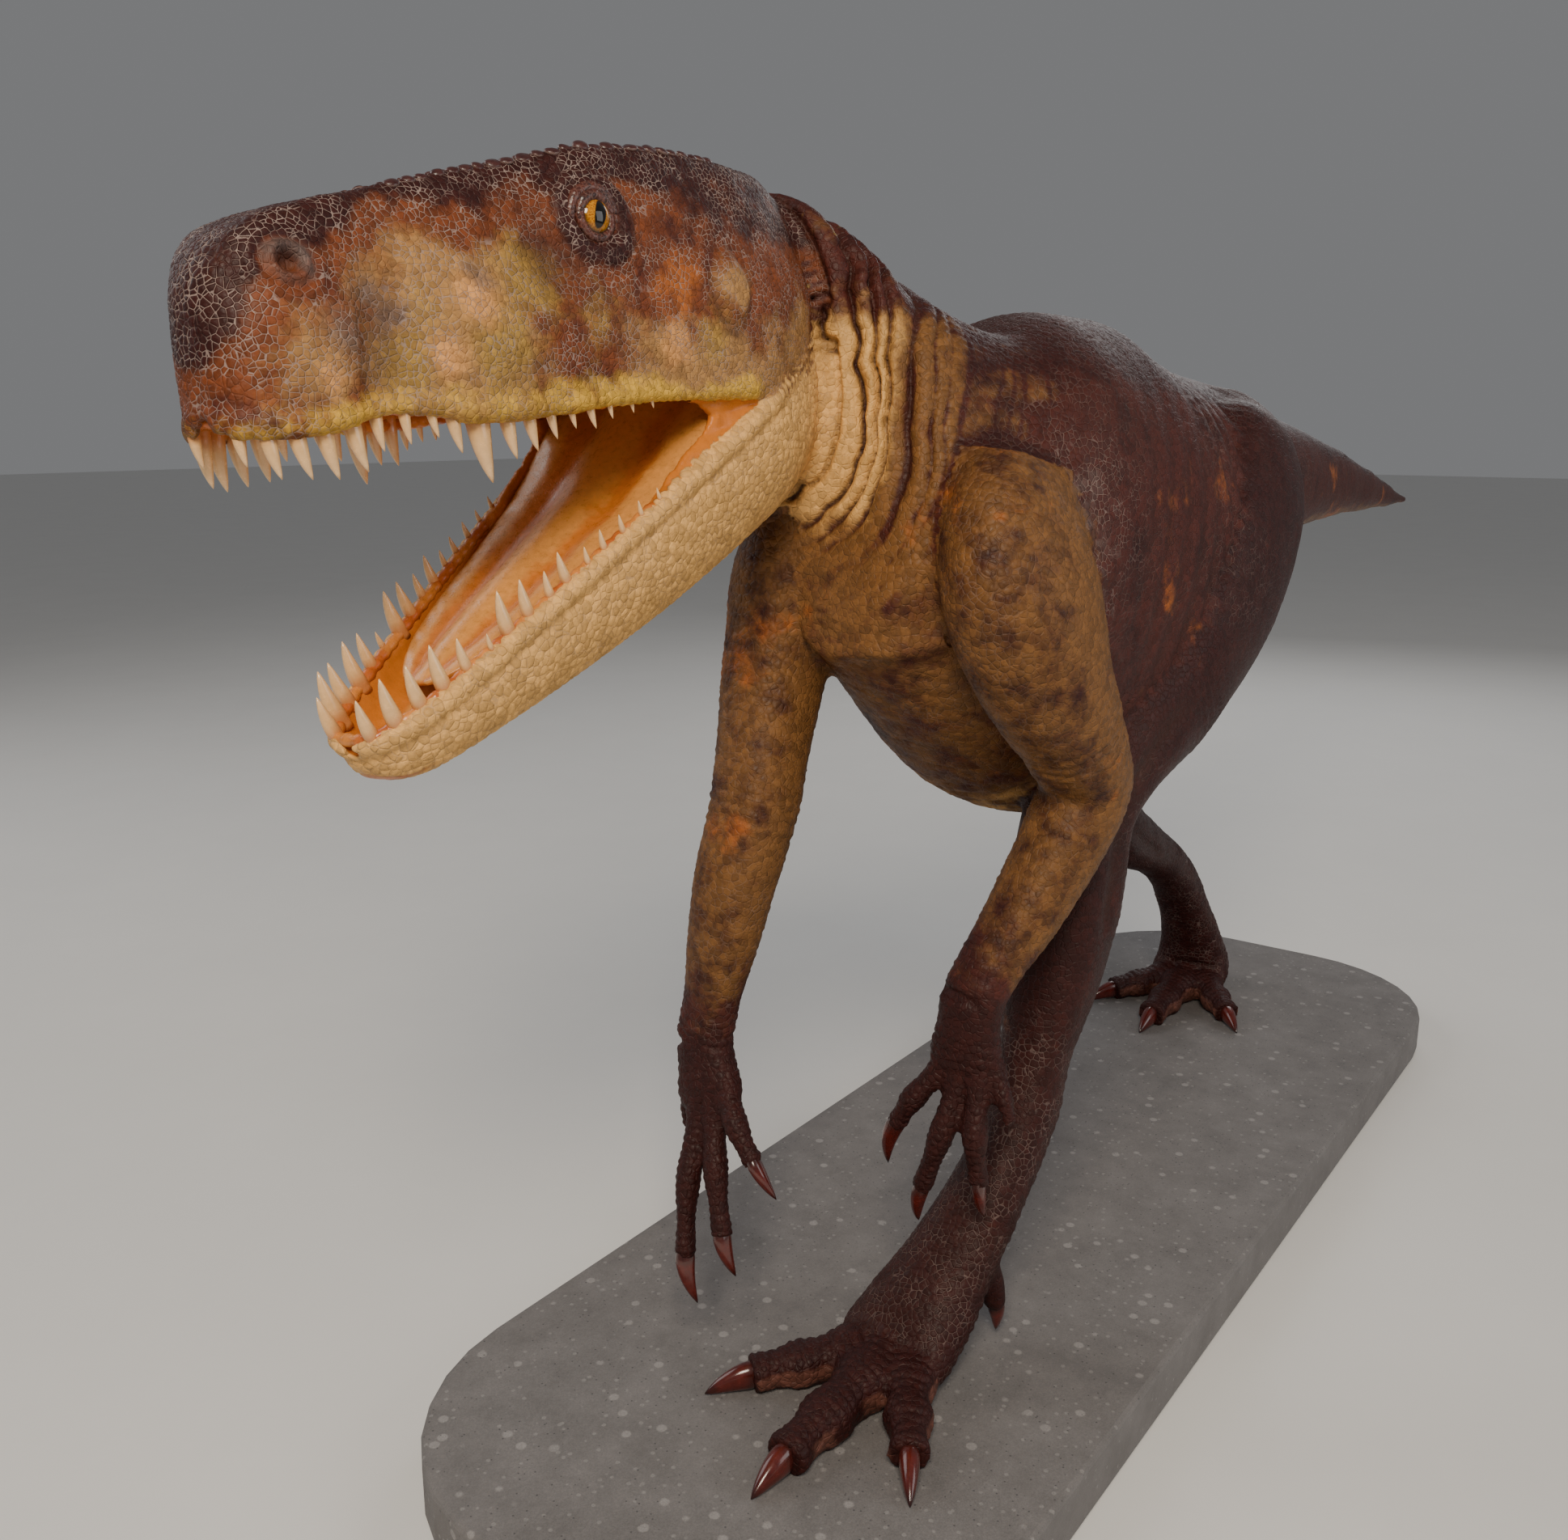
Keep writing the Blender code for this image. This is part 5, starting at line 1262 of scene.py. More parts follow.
# Paints of the skin, laid in this order over maroon: mask, colour, blotches per metre and raggedness
MAROON = (0.056, 0.0120, 0.0080)
SKIN_PAINTS = [
    ("ochre", (0.155, 0.069, 0.020), 26.0, 0.70),
    ("orange", (0.330, 0.092, 0.014), 24.0, 0.75),
    ("cream", (0.600, 0.335, 0.108), 30.0, 0.45),
    ("red", (0.138, 0.035, 0.010), 30.0, 0.65),
    ("tan", (0.295, 0.152, 0.052), 34.0, 0.50),
    ("olive", (0.300, 0.172, 0.038), 40.0, 0.50),
    ("peach", (0.540, 0.250, 0.082), 40.0, 0.45),
    ("yellow", (0.520, 0.300, 0.040), 48.0, 0.50),
    ("lilac", (0.110, 0.078, 0.070), 34.0, 0.60),
    ("dark", (0.029, 0.0056, 0.0045), 34.0, 0.60),
    ("fleck", (0.500, 0.330, 0.050), 90.0, 0.60),
    ("lobe", (0.110, 0.042, 0.030), 60.0, 0.50),
]


def skin_finish():
    """Painted reptile skin: blotched colours, scales with pale lines between them and a wet mouth."""
    finish, tree, shader = new_finish("painted_skin")
    colour = MAROON
    for mask, paint, blotches, ragged in SKIN_PAINTS:
        layer = use_group(tree, PAINT_LAYER, Under=colour, Paint=paint, Mask=mask_of(tree, mask),
                          Blotches_per_metre=blotches, Raggedness=ragged)
        colour = layer.outputs["Colour"]
    fine = use_group(tree, SCALE_PATTERN, Scales_per_metre=FINE_SCALES, Line_width=0.048)
    broad = use_group(tree, SCALE_PATTERN, Scales_per_metre=BROAD_SCALES, Line_width=0.040)
    pebbles = use_group(tree, SCALE_PATTERN, Scales_per_metre=230.0, Line_width=0.16)
    share = mask_of(tree, "fine")
    cell, line, height = [blended(tree, share, broad.outputs[name], fine.outputs[name])
                          for name in ("Cell", "Line", "Height")]
    colour = mix_colours(tree, 0.70, colour, grey_of(tree, map_range(tree, cell, 0.0, 1.0, 0.74, 1.30)),
                         "MULTIPLY")
    worn = tree.nodes.new("ShaderNodeTexNoise")
    worn.inputs["Scale"].default_value = 38.0
    worn.inputs["Detail"].default_value = 4.0
    place = tree.nodes.new("ShaderNodeTexCoord")
    tree.links.new(place.outputs["Object"], worn.inputs["Vector"])
    shown = map_range(tree, worn.outputs["Fac"], 0.37, 0.56)
    shown = math_node(tree, "MULTIPLY", math_node(tree, "MULTIPLY", line, mask_of(tree, "crackle")), shown)
    colour = mix_colours(tree, math_node(tree, "MULTIPLY", shown, 0.80), colour, (0.275, 0.205, 0.180))
    # Painted shade: creases, dents, nostril pits, neck fold gaps and the shadow under the throat flap are darkened.
    crease_shade = math_node(tree, "MULTIPLY", mask_of(tree, "crease_shade"), 0.70)
    colour = mix_colours(tree, crease_shade, colour, (0.040, 0.0130, 0.0080))
    grain = use_group(tree, GRAIN, Colour=colour, Grains_per_metre=260.0, Strength=0.22)
    colour = grain.outputs["Colour"]
    lining = mask_of(tree, "lining")
    wet = use_group(tree, PAINT_LAYER, Under=(0.600, 0.275, 0.070), Paint=(0.500, 0.150, 0.018),
                    Mask=mask_of(tree, "gum"), Blotches_per_metre=26.0, Raggedness=0.35)
    wet_grain = use_group(tree, GRAIN, Colour=wet.outputs["Colour"], Grains_per_metre=60.0, Strength=0.16)
    tree.links.new(mix_colours(tree, lining, colour, wet_grain.outputs["Colour"]), shader.inputs["Base Color"])
    rough = map_range(tree, grain.outputs["Grain"], 0.3, 0.7, 0.42, 0.64)
    rough = math_node(tree, "SUBTRACT", rough, math_node(tree, "MULTIPLY", lining, 0.20))
    tree.links.new(rough, shader.inputs["Roughness"])
    dry = math_node(tree, "SUBTRACT", 1.0, lining)
    first = bump_from(tree, math_node(tree, "MULTIPLY", height, dry), 0.60, 0.0009)
    second = bump_from(tree, math_node(tree, "MULTIPLY", pebbles.outputs["Height"], dry), 0.45, 0.0005, first)
    third = bump_from(tree, grain.outputs["Grain"], 0.40, 0.0007, second)
    tree.links.new(third, shader.inputs["Normal"])
    shader.inputs["Specular IOR Level"].default_value = 0.24
    return finish


def shaded_finish(name, stops, rough, coat, streaks, strength=0.25):
    """A glossy horn or tooth finish whose colour runs from root to tip, with fine streaks."""
    finish, tree, shader = new_finish(name)
    ramp_node = tree.nodes.new("ShaderNodeValToRGB")
    elements = ramp_node.color_ramp.elements
    while len(elements) < len(stops):
        elements.new(0.5)
    for element, (at, colour) in zip(elements, stops):
        element.position = at
        element.color = (*colour, 1.0)
    tree.links.new(mask_of(tree, "tip"), ramp_node.inputs["Fac"])
    grain = use_group(tree, GRAIN, Colour=ramp_node.outputs["Color"], Grains_per_metre=streaks,
                      Strength=strength)
    tree.links.new(grain.outputs["Colour"], shader.inputs["Base Color"])
    tree.links.new(map_range(tree, grain.outputs["Grain"], 0.3, 0.7, rough, rough + 0.14),
                   shader.inputs["Roughness"])
    tree.links.new(bump_from(tree, grain.outputs["Grain"], 0.25, 0.0004), shader.inputs["Normal"])
    shader.inputs["Coat Weight"].default_value = coat
    shader.inputs["Coat Roughness"].default_value = 0.12
    return finish


def eye_finish():
    """An amber eye: radial streaks, a dark rim and an upright slit pupil under a clear gloss."""
    finish, tree, shader = new_finish("amber_eye")
    place = tree.nodes.new("ShaderNodeTexCoord")
    axes = tree.nodes.new("ShaderNodeSeparateXYZ")
    tree.links.new(place.outputs["Object"], axes.inputs["Vector"])
    x, y = axes.outputs["X"], axes.outputs["Y"]
    wide = math_node(tree, "POWER", math_node(tree, "DIVIDE", x, PUPIL_HALF[0]), 2.0)
    tall = math_node(tree, "POWER", math_node(tree, "DIVIDE", y, PUPIL_HALF[1]), 2.0)
    slit = math_node(tree, "ADD", wide, tall)
    radius = math_node(tree, "SQRT", math_node(tree, "ADD", math_node(tree, "MULTIPLY", x, x),
                                               math_node(tree, "MULTIPLY", y, y)))
    turn = math_node(tree, "ARCTAN2", y, x)
    spokes = tree.nodes.new("ShaderNodeCombineXYZ")
    tree.links.new(turn, spokes.inputs["X"])
    tree.links.new(math_node(tree, "MULTIPLY", radius, 60.0), spokes.inputs["Y"])
    streak = tree.nodes.new("ShaderNodeTexNoise")
    streak.inputs["Scale"].default_value = 9.0
    streak.inputs["Detail"].default_value = 4.0
    tree.links.new(spokes.outputs["Vector"], streak.inputs["Vector"])
    iris = mix_colours(tree, map_range(tree, streak.outputs["Fac"], 0.35, 0.65), (0.26, 0.075, 0.003),
                       (0.52, 0.230, 0.008))
    rim = map_range(tree, radius, IRIS_RADIUS * 0.72, IRIS_RADIUS)
    colour = mix_colours(tree, rim, iris, (0.020, 0.008, 0.004))
    pupil = map_range(tree, slit, 0.85, 1.25, 1.0, 0.0)
    tree.links.new(mix_colours(tree, pupil, colour, (0.004, 0.003, 0.003)), shader.inputs["Base Color"])
    shader.inputs["Roughness"].default_value = 0.07
    shader.inputs["Specular IOR Level"].default_value = 0.40
    shader.inputs["Coat Weight"].default_value = 0.30
    shader.inputs["Coat Roughness"].default_value = 0.02
    return finish


def lid_finish():
    finish, tree, shader = new_finish("lid_skin")
    scales = use_group(tree, SCALE_PATTERN, Scales_per_metre=260.0, Line_width=0.10)
    colour = mix_colours(tree, scales.outputs["Cell"], (0.026, 0.008, 0.007), (0.085, 0.020, 0.012))
    colour = mix_colours(tree, math_node(tree, "MULTIPLY", scales.outputs["Line"], 0.25), colour,
                         (0.24, 0.12, 0.09))
    grain = use_group(tree, GRAIN, Colour=colour, Grains_per_metre=420.0, Strength=0.25)
    tree.links.new(grain.outputs["Colour"], shader.inputs["Base Color"])
    tree.links.new(map_range(tree, grain.outputs["Grain"], 0.3, 0.7, 0.26, 0.46), shader.inputs["Roughness"])
    tree.links.new(bump_from(tree, scales.outputs["Height"], 0.4, 0.0005), shader.inputs["Normal"])
    return finish


def scute_finish():
    finish, tree, shader = new_finish("brow_scutes")
    grain = use_group(tree, GRAIN, Colour=(0.040, 0.0085, 0.0070), Grains_per_metre=150.0, Strength=0.50)
    foot = mask_of(tree, "tip")
    colour = mix_colours(tree, map_range(tree, foot, 0.05, 0.30, 0.55, 0.0), grain.outputs["Colour"],
                         (0.20, 0.13, 0.11))
    tree.links.new(colour, shader.inputs["Base Color"])
    tree.links.new(map_range(tree, grain.outputs["Grain"], 0.3, 0.7, 0.30, 0.52), shader.inputs["Roughness"])
    tree.links.new(bump_from(tree, grain.outputs["Grain"], 0.5, 0.0010), shader.inputs["Normal"])
    shader.inputs["Coat Weight"].default_value = 0.15
    return finish


def wet_finish(name, colour, deep):
    """Glossy painted flesh with soft blotches and fine bumps."""
    finish, tree, shader = new_finish(name)
    # The deep mask is random banding on the gums, and painted shade in the tongue's troughs and on its underside.
    layer = use_group(tree, PAINT_LAYER, Under=colour, Paint=deep, Mask=mask_of(tree, "deep"),
                      Blotches_per_metre=40.0, Raggedness=0.45)
    grain = use_group(tree, GRAIN, Colour=layer.outputs["Colour"], Grains_per_metre=150.0, Strength=0.22)
    pits = use_group(tree, SCALE_PATTERN, Scales_per_metre=330.0, Line_width=0.20)
    tree.links.new(grain.outputs["Colour"], shader.inputs["Base Color"])
    tree.links.new(map_range(tree, grain.outputs["Grain"], 0.3, 0.7, 0.24, 0.44), shader.inputs["Roughness"])
    tree.links.new(bump_from(tree, pits.outputs["Height"], 0.35, 0.0005), shader.inputs["Normal"])
    shader.inputs["Coat Weight"].default_value = 0.10
    shader.inputs["Coat Roughness"].default_value = 0.20
    return finish


def slab_finish():
    """Cast slab: grey matrix with pale and dark stones, sand grain and small pits."""
    finish, tree, shader = new_finish("cast_slab")
    place = tree.nodes.new("ShaderNodeTexCoord")
    colour = use_group(tree, GRAIN, Colour=(0.150, 0.141, 0.140), Grains_per_metre=14.0,
                       Strength=0.22).outputs["Colour"]
    stone_height = None
    for per_metre, size, paint in ((38.0, 0.22, (0.30, 0.285, 0.28)), (95.0, 0.24, (0.25, 0.24, 0.235)),
                                   (150.0, 0.17, (0.030, 0.028, 0.032))):
        stones = tree.nodes.new("ShaderNodeTexVoronoi")
        stones.inputs["Scale"].default_value = per_metre
        tree.links.new(place.outputs["Object"], stones.inputs["Vector"])
        picked = tree.nodes.new("ShaderNodeSeparateColor")
        tree.links.new(stones.outputs["Color"], picked.inputs["Color"])
        chosen = map_range(tree, picked.outputs["Green"], 0.66, 0.70)
        disc = map_range(tree, stones.outputs["Distance"], size * 0.8, size * 1.25, 1.0, 0.0)
        inside = math_node(tree, "MULTIPLY", disc, chosen)
        colour = mix_colours(tree, math_node(tree, "MULTIPLY", inside, 0.62), colour, paint)
        stone_height = stone_height or inside
    grain = use_group(tree, GRAIN, Colour=colour, Grains_per_metre=520.0, Strength=0.30)
    tree.links.new(grain.outputs["Colour"], shader.inputs["Base Color"])
    tree.links.new(map_range(tree, grain.outputs["Grain"], 0.3, 0.7, 0.68, 0.90), shader.inputs["Roughness"])
    raised = bump_from(tree, stone_height, 0.25, 0.0006)
    tree.links.new(bump_from(tree, grain.outputs["Grain"], 0.55, 0.0009, raised), shader.inputs["Normal"])
    return finish


def floor_finish():
    finish, tree, shader = new_finish("studio_floor")
    grain = use_group(tree, GRAIN, Colour=(0.74, 0.73, 0.71), Grains_per_metre=3.0, Strength=0.02)
    tree.links.new(grain.outputs["Colour"], shader.inputs["Base Color"])
    shader.inputs["Roughness"].default_value = 0.8
    return finish


PUPIL_HALF = (0.0058, 0.0120)
IRIS_RADIUS = 0.0150


def add_mask(piece, name, values):
    layer = piece.data.attributes.new(name, "FLOAT", "POINT")
    layer.data.foreach_set("value", np.asarray(values, np.float32))


def joined_lofts(name, lofts, finish, masks):
    """One piece from closed lofts, each with its mask values."""
    points, faces = [], []
    total = 0
    for rings in lofts:
        faces += loft_faces(rings.shape[0], rings.shape[1], total)
        points.append(rings.reshape(-1, 3))
        total += rings.shape[0] * rings.shape[1]
    piece = mesh_object(name, np.vstack(points), faces, finish)
    for mask, values in masks.items():
        add_mask(piece, mask, np.concatenate([value.ravel() for value in values]))
    return piece


def horn_rings(root, out, back, length, half, bow, flat=1.0, groove=0.0, columns=16, count=13):
    """A curved pointed horn, deeper than wide: its rings and how far along each point is."""
    out = out.normalized()
    back = (back - out * back.dot(out)).normalized()
    across = out.cross(back)
    rings, shares = [], []
    for share in np.linspace(-0.25, 1.0, count):
        reach = max(share, 0.0)
        thick = half * max(1.0 - reach ** 1.55, 0.0) ** 0.72 * (1.0 if share > 0 else 0.94)
        thick = max(thick, half * 0.05)
        centre = root + out * length * share + back * length * bow * reach ** 2
        ring = []
        for index in range(columns):
            angle = math.tau * index / columns
            dent = 1.0 - groove * math.exp(-((abs(math.cos(angle)) - 1.0) / 0.18) ** 2)
            ring.append(centre + across * (math.cos(angle) * thick * flat * dent) + back * (math.sin(angle) * thick))
        rings.append([tuple(point) for point in ring])
        shares.append([reach] * columns)
    return np.array(rings), np.array(shares)


def make_teeth(name, rows, sections, place, downward, finish):
    """Both sides of a tooth row, set just inside the lip, recurved and splayed a little."""
    draw = random.Random(7 if downward else 11)
    lofts, shares = [], []
    for side in (1, -1):
        for along, length in rows:
            lip = float(column_at(sections, along, 1))
            gum = float(column_at(sections, along, 2)) + 0.004 if downward else 0.001
            size = length * draw.uniform(0.92, 1.06)
            root = Vector((along, side * (lip - TOOTH_INSET - size / TOOTH_SLENDER), gum))
            splay = side * draw.uniform(0.02, 0.10)
            out = Vector((draw.uniform(-0.05, 0.08), splay, -1.0 if downward else 1.0)).normalized()
            rings, share = horn_rings(root, out, Vector((-1, 0, 0)), size, size / TOOTH_SLENDER * 1.06,
                                      0.17, 0.86, 0.05)
            lofts.append(placed(place, rings.reshape(-1, 3)).reshape(rings.shape))
            shares.append(share)
    return joined_lofts(name, lofts, finish, {"tip": shares})


def make_gum(name, rows, sections, place, downward, finish):
    """The swollen gum round the roots of one jaw's teeth, from corner over the tip to corner."""
    back = rows[-1][0] - 0.02
    tip = rows[0][0] - 0.003 * downward
    half = np.concatenate([np.linspace(back, tip, 150), np.full(16, tip)])
    lip = column_at(sections, half, 1) - 0.0095
    front = ramp(half, 0.40, 0.50) * downward
    height = column_at(sections, half, 2) + 0.0038 + 0.0085 * front if downward else np.full(len(half), -0.0020)
    lip[150:] *= np.cos(np.linspace(0, math.pi / 2, 16))
    half[150:] += np.sin(np.linspace(0, math.pi / 2, 16)) * 0.003
    left = np.stack([half, lip, height], 1)
    path = np.vstack([left, (left * (1, -1, 1))[::-1][1:]])
    travelled = np.concatenate([[0], np.cumsum(np.linalg.norm(np.diff(path, axis=0), axis=1))])
    thin = np.concatenate([front, front[::-1][1:]])
    size = (0.0054 - 0.0012 * thin) * (1 + 0.10 * np.sin(travelled * math.tau / 0.0145)) * np.clip(
        np.minimum(travelled, travelled[-1] - travelled) / 0.03, 0.25, 1)
    path = placed(place, path)
    rows_out = [(*point, thick, thick, thick) for point, thick in zip(path, size)]
    rings = np.array([[tuple(point) for point in ring]
                      for ring in rings_along(rows_out, 12, 2.0, place.to_3x3().transposed()[2])])
    deep = np.broadcast_to(0.5 + 0.4 * np.sin(travelled * 90)[:, None], rings.shape[:2])
    return joined_lofts(name, [rings], finish, {"deep": [deep]})


def make_tongue(finish):
    """A broad tongue nearly level with the lips: a ridge between two troughs and a free, rounded tip."""
    rings, deep = [], []
    for row in smooth_rows(JAW_SECTIONS, 14):
        along, lip, _, floor = row
        if not 0.02 <= along <= 0.446:
            continue
        share = (along - 0.02) / 0.426
        tip = math.sqrt(max(1.0 - share ** 9, 0.0006))
        half = (lip - LIP_THICKNESS) * 0.99 * tip
        top = 0.006 - 0.010 * share + 0.026 * float(ramp(share, 0.42, 0.0))
        thick = (top - floor) * (1 - ramp(share, 0.60, 0.90)) + 0.0145 * ramp(share, 0.60, 0.90)
        ring, ring_shade = [], []
        for index in range(64):
            angle = math.tau * index / 64
            c, s = math.cos(angle), math.sin(angle)
            across = math.copysign(abs(c) ** 0.72, c)
            ridge = 0.0050 * math.exp(-(across / 0.20) ** 2) - 0.0075 * math.exp(-((abs(across) - 0.42) / 0.17) ** 2)
            ridge *= (1.0 - share ** 6) * max(s, 0.0)
            middle = top - thick * 0.42
            reach = thick * (0.42 if s > 0 else 0.58) * max(tip, 0.22)
            ring.append((along, half * across, middle + reach * math.copysign(abs(s) ** 0.48, s) + ridge))
            # Painted shade: deeper colour in the troughs beside the middle ridge and on the tongue's underside.
            ring_shade.append(math.exp(-((abs(across) - 0.46) / 0.20) ** 2) * 0.9 + 0.45 * (s < 0.2))
        rings.append(ring)
        deep.append(ring_shade)
    rings = np.array(rings, float)
    flat = rings.reshape(-1, 3)
    flat[:, 2] += 0.0014 * fractal(flat, 0.030, 111, 2) + 0.0005 * noise(flat, 0.008, 112)
    rings = placed(JAW, flat).reshape(rings.shape)
    return joined_lofts("tongue_flesh", [rings], finish, {"deep": [np.array(deep)]})


def eye_axes(sign):
    """Frame of one eye: +Z looks out of the head and +Y is up along the lids."""
    out = Vector((0.18, sign, 0.10)).normalized()
    up = Vector((0.10, 0.0, 1.0))
    up = (up - out * up.dot(out)).normalized()
    turn = Matrix((up.cross(out), up, out)).transposed().to_4x4()
    return HEAD @ Matrix.Translation(Vector((EYE_AT.x, sign * EYE_AT.y, EYE_AT.z))) @ turn


def make_eye(word, sign, finish):
    """A polished eyeball with a bulged cornea."""
    columns, count = 64, 40
    rings = []
    for number in range(count):
        angle = math.pi * (number + 0.02) / (count - 1 + 0.04)
        high = math.cos(angle)
        bulge = 1.0 + 0.045 * math.exp(-((1 - high) / 0.16) ** 2)
        rings.append([(EYE_RADIUS * bulge * math.sin(angle) * math.cos(math.tau * k / columns),
                       EYE_RADIUS * bulge * math.sin(angle) * math.sin(math.tau * k / columns),
                       EYE_RADIUS * bulge * high) for k in range(columns)])
    rings = np.array(rings)
    eye = mesh_object("eyeball_" + word, rings.reshape(-1, 3), loft_faces(count, columns), finish)
    eye.matrix_world = eye_axes(sign) @ Matrix.Rotation(sign * EYE_SLANT, 4, "Z")
    return eye


EYE_SLANT = math.radians(-24.0)


# Rims of the eyelids: half width, half height, thickness, distance out and hood over the top
LID_RIMS = ((0.0168, 0.0182, 0.0042, 0.0152, 0.0018), (0.0246, 0.0256, 0.0042, 0.0120, 0.0030))


def make_lids(finish):
    """Two wrinkled rims round each eye, the upper half heavier."""
    lofts, shares = [], []
    for sign in (1, -1):
        place = eye_axes(sign)
        for wide, tall, thick, out, hood in LID_RIMS:
            rings = []
            for index in range(97):
                angle = math.tau * index / 96
                upper = max(math.sin(angle), 0.0)
                high = tall * (0.90 if upper > 0 else 1.0)
                centre = np.array([wide * math.cos(angle), high * math.sin(angle), out + hood * upper])
                tube = thick * (1.0 + 0.28 * upper + 0.05 * math.sin(angle * 9) + 0.04 * math.sin(angle * 23))
                outward = np.array([math.cos(angle), math.sin(angle), 0.0])
                rings.append([centre + outward * tube * math.cos(math.tau * k / 20)
                              + np.array([0, 0, 1.0]) * tube * math.sin(math.tau * k / 20) for k in range(20)])
            rings = placed(place, np.array(rings).reshape(-1, 3)).reshape(97, 20, 3)
            lofts.append(rings)
            shares.append(np.zeros(rings.shape[:2]))
    return joined_lofts("eyelids", lofts, finish, {"tip": shares})


def dome(spot, out, ahead, size, high):
    """A low rounded scute sunk in the skin at a spot, and how high each of its points is."""
    ahead = (ahead - out * ahead.dot(out)).normalized()
    across = out.cross(ahead)
    rings, share = [], []
    for level in np.linspace(-1.0, 1.0, 10):
        wide = math.sqrt(max(1.0 - abs(level) ** 2.2, 0.0)) * 0.98 + 0.02
        rings.append([tuple(spot + ahead * (size * 1.06 * wide * math.cos(angle))
                            + across * (size * 0.90 * wide * math.sin(angle)) + out * (high * level))
                      for angle in np.linspace(0, math.tau, 18, endpoint=False)])
        share.append([max(level, 0.0)] * 18)
    rings = np.array(rings)
    flat = rings.reshape(-1, 3)
    flat += (0.10 * size * noise(flat, size * 0.9, 120))[:, None] * np.array(out)
    return rings, np.array(share)


def make_scutes(skin, finish):
    """Two rows of low, wrinkled scutes along both brows, from the snout to behind the eye."""
    draw = random.Random(23)
    lofts, shares = [], []
    ahead = HEAD.to_3x3() @ Vector((1.0, 0.0, -0.1))
    for side in (1, -1):
        for row, (count, spacing, base) in enumerate(((26, 0.0148, 0.0074), (30, 0.0116, 0.0050))):
            for number in range(count):
                along = 0.385 - spacing * number + draw.uniform(-0.0025, 0.0025)
                size = base * draw.uniform(0.80, 1.12) * (0.75 + 0.25 * math.sin(math.pi * (number + 2) / (count + 4)))
                brow = float(column_at(HEAD_SECTIONS, along, 5))
                high = float(column_at(HEAD_SECTIONS, along, 6))
                wide = brow * (1.0 - 0.26 * row) + draw.uniform(-0.0015, 0.0015)
                seat = HEAD @ Vector((along, side * wide, high + 0.004))
                _, spot, out, _ = skin.closest_point_on_mesh(seat)
                out = (out + HEAD.to_3x3() @ Vector((0.0, side * 0.30, 0.6))).normalized()
                rings, share = dome(spot - out * size * 0.10, out, ahead, size, size * 0.45)
                lofts.append(rings)
                shares.append(share)
    return joined_lofts("brow_scutes", lofts, finish, {"tip": shares})


def make_hand_claws(word, plan, finish):
    """The three curved claws of one hand."""
    lofts, shares = [], []
    for name in ("thumb", "second", "third"):
        *joints, tip = [Vector(point) for point in plan[name]]
        rows = smooth_rows([tuple(point) for point in joints], 12)
        root = Vector(rows[-1])
        ahead = (root - Vector(rows[-2])).normalized()
        reach = (tip - root).length
        bend = tip - root + Vector((0.02, 0, -0.02))
        half = FINGER_HALF * (1.0 - 0.045 * 6) * (1.0 + 0.10 * math.cos(math.pi * 6 / 1.5)) * 0.92
        rings, share = horn_rings(root - ahead * 0.001, ahead, bend, reach * 0.97, half, 0.30, 0.78, 0.10, 20, 18)
        lofts.append(rings)
        shares.append(share)
    return joined_lofts("claws_hand_" + word, lofts, finish, {"tip": shares})


def make_foot_claws(word, midfoot, inward, finish):
    """The toe claws and the spur claw of one foot."""
    lofts, shares = [], []
    for turn, length, half in TOES.values():
        ahead = Vector((-math.cos(turn), inward * math.sin(turn), 0.0))
        root = midfoot + ahead * length
        root.z = FLOOR + 0.018
        high = half * 0.62 * 0.86
        rings, share = horn_rings(root, ahead, Vector((0, 0, -1)), TOE_CLAW, high * 0.92, 0.26, 0.80, 0.10, 20, 18)
        rings[..., 2] = np.maximum(rings[..., 2], FLOOR)
        lofts.append(rings)
        shares.append(share)
    outward = Vector((0.30, -inward * 0.10, -0.95)).normalized()
    root = midfoot + SPUR_AT[word] + outward * SPUR_LENGTH
    rings, share = horn_rings(root, outward, Vector((0, 0, -1)), SPUR_CLAW, 0.0112, 0.30, 0.85, 0.08, 18, 16)
    rings[..., 2] = np.maximum(rings[..., 2], FLOOR)
    lofts.append(rings)
    shares.append(share)
    return joined_lofts("claws_foot_" + word, lofts, finish, {"tip": shares})


FLESH = ["head", "lower_jaw", "neck", "torso", "pelvis", "tail_base", "tail_middle", "tail_tip"]
FLESH += [f"{part}_{word}" for word in ("left", "right")
          for part in ("thigh", "shank", "foot", "upper_arm", "forearm", "hand")]


def add_piece(piece, slot, *nodes):
    """Rides a piece on the figure and puts it in the place of CAD nodes; slot is not used."""
    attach(piece, "root")
    if nodes:
        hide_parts(*nodes)


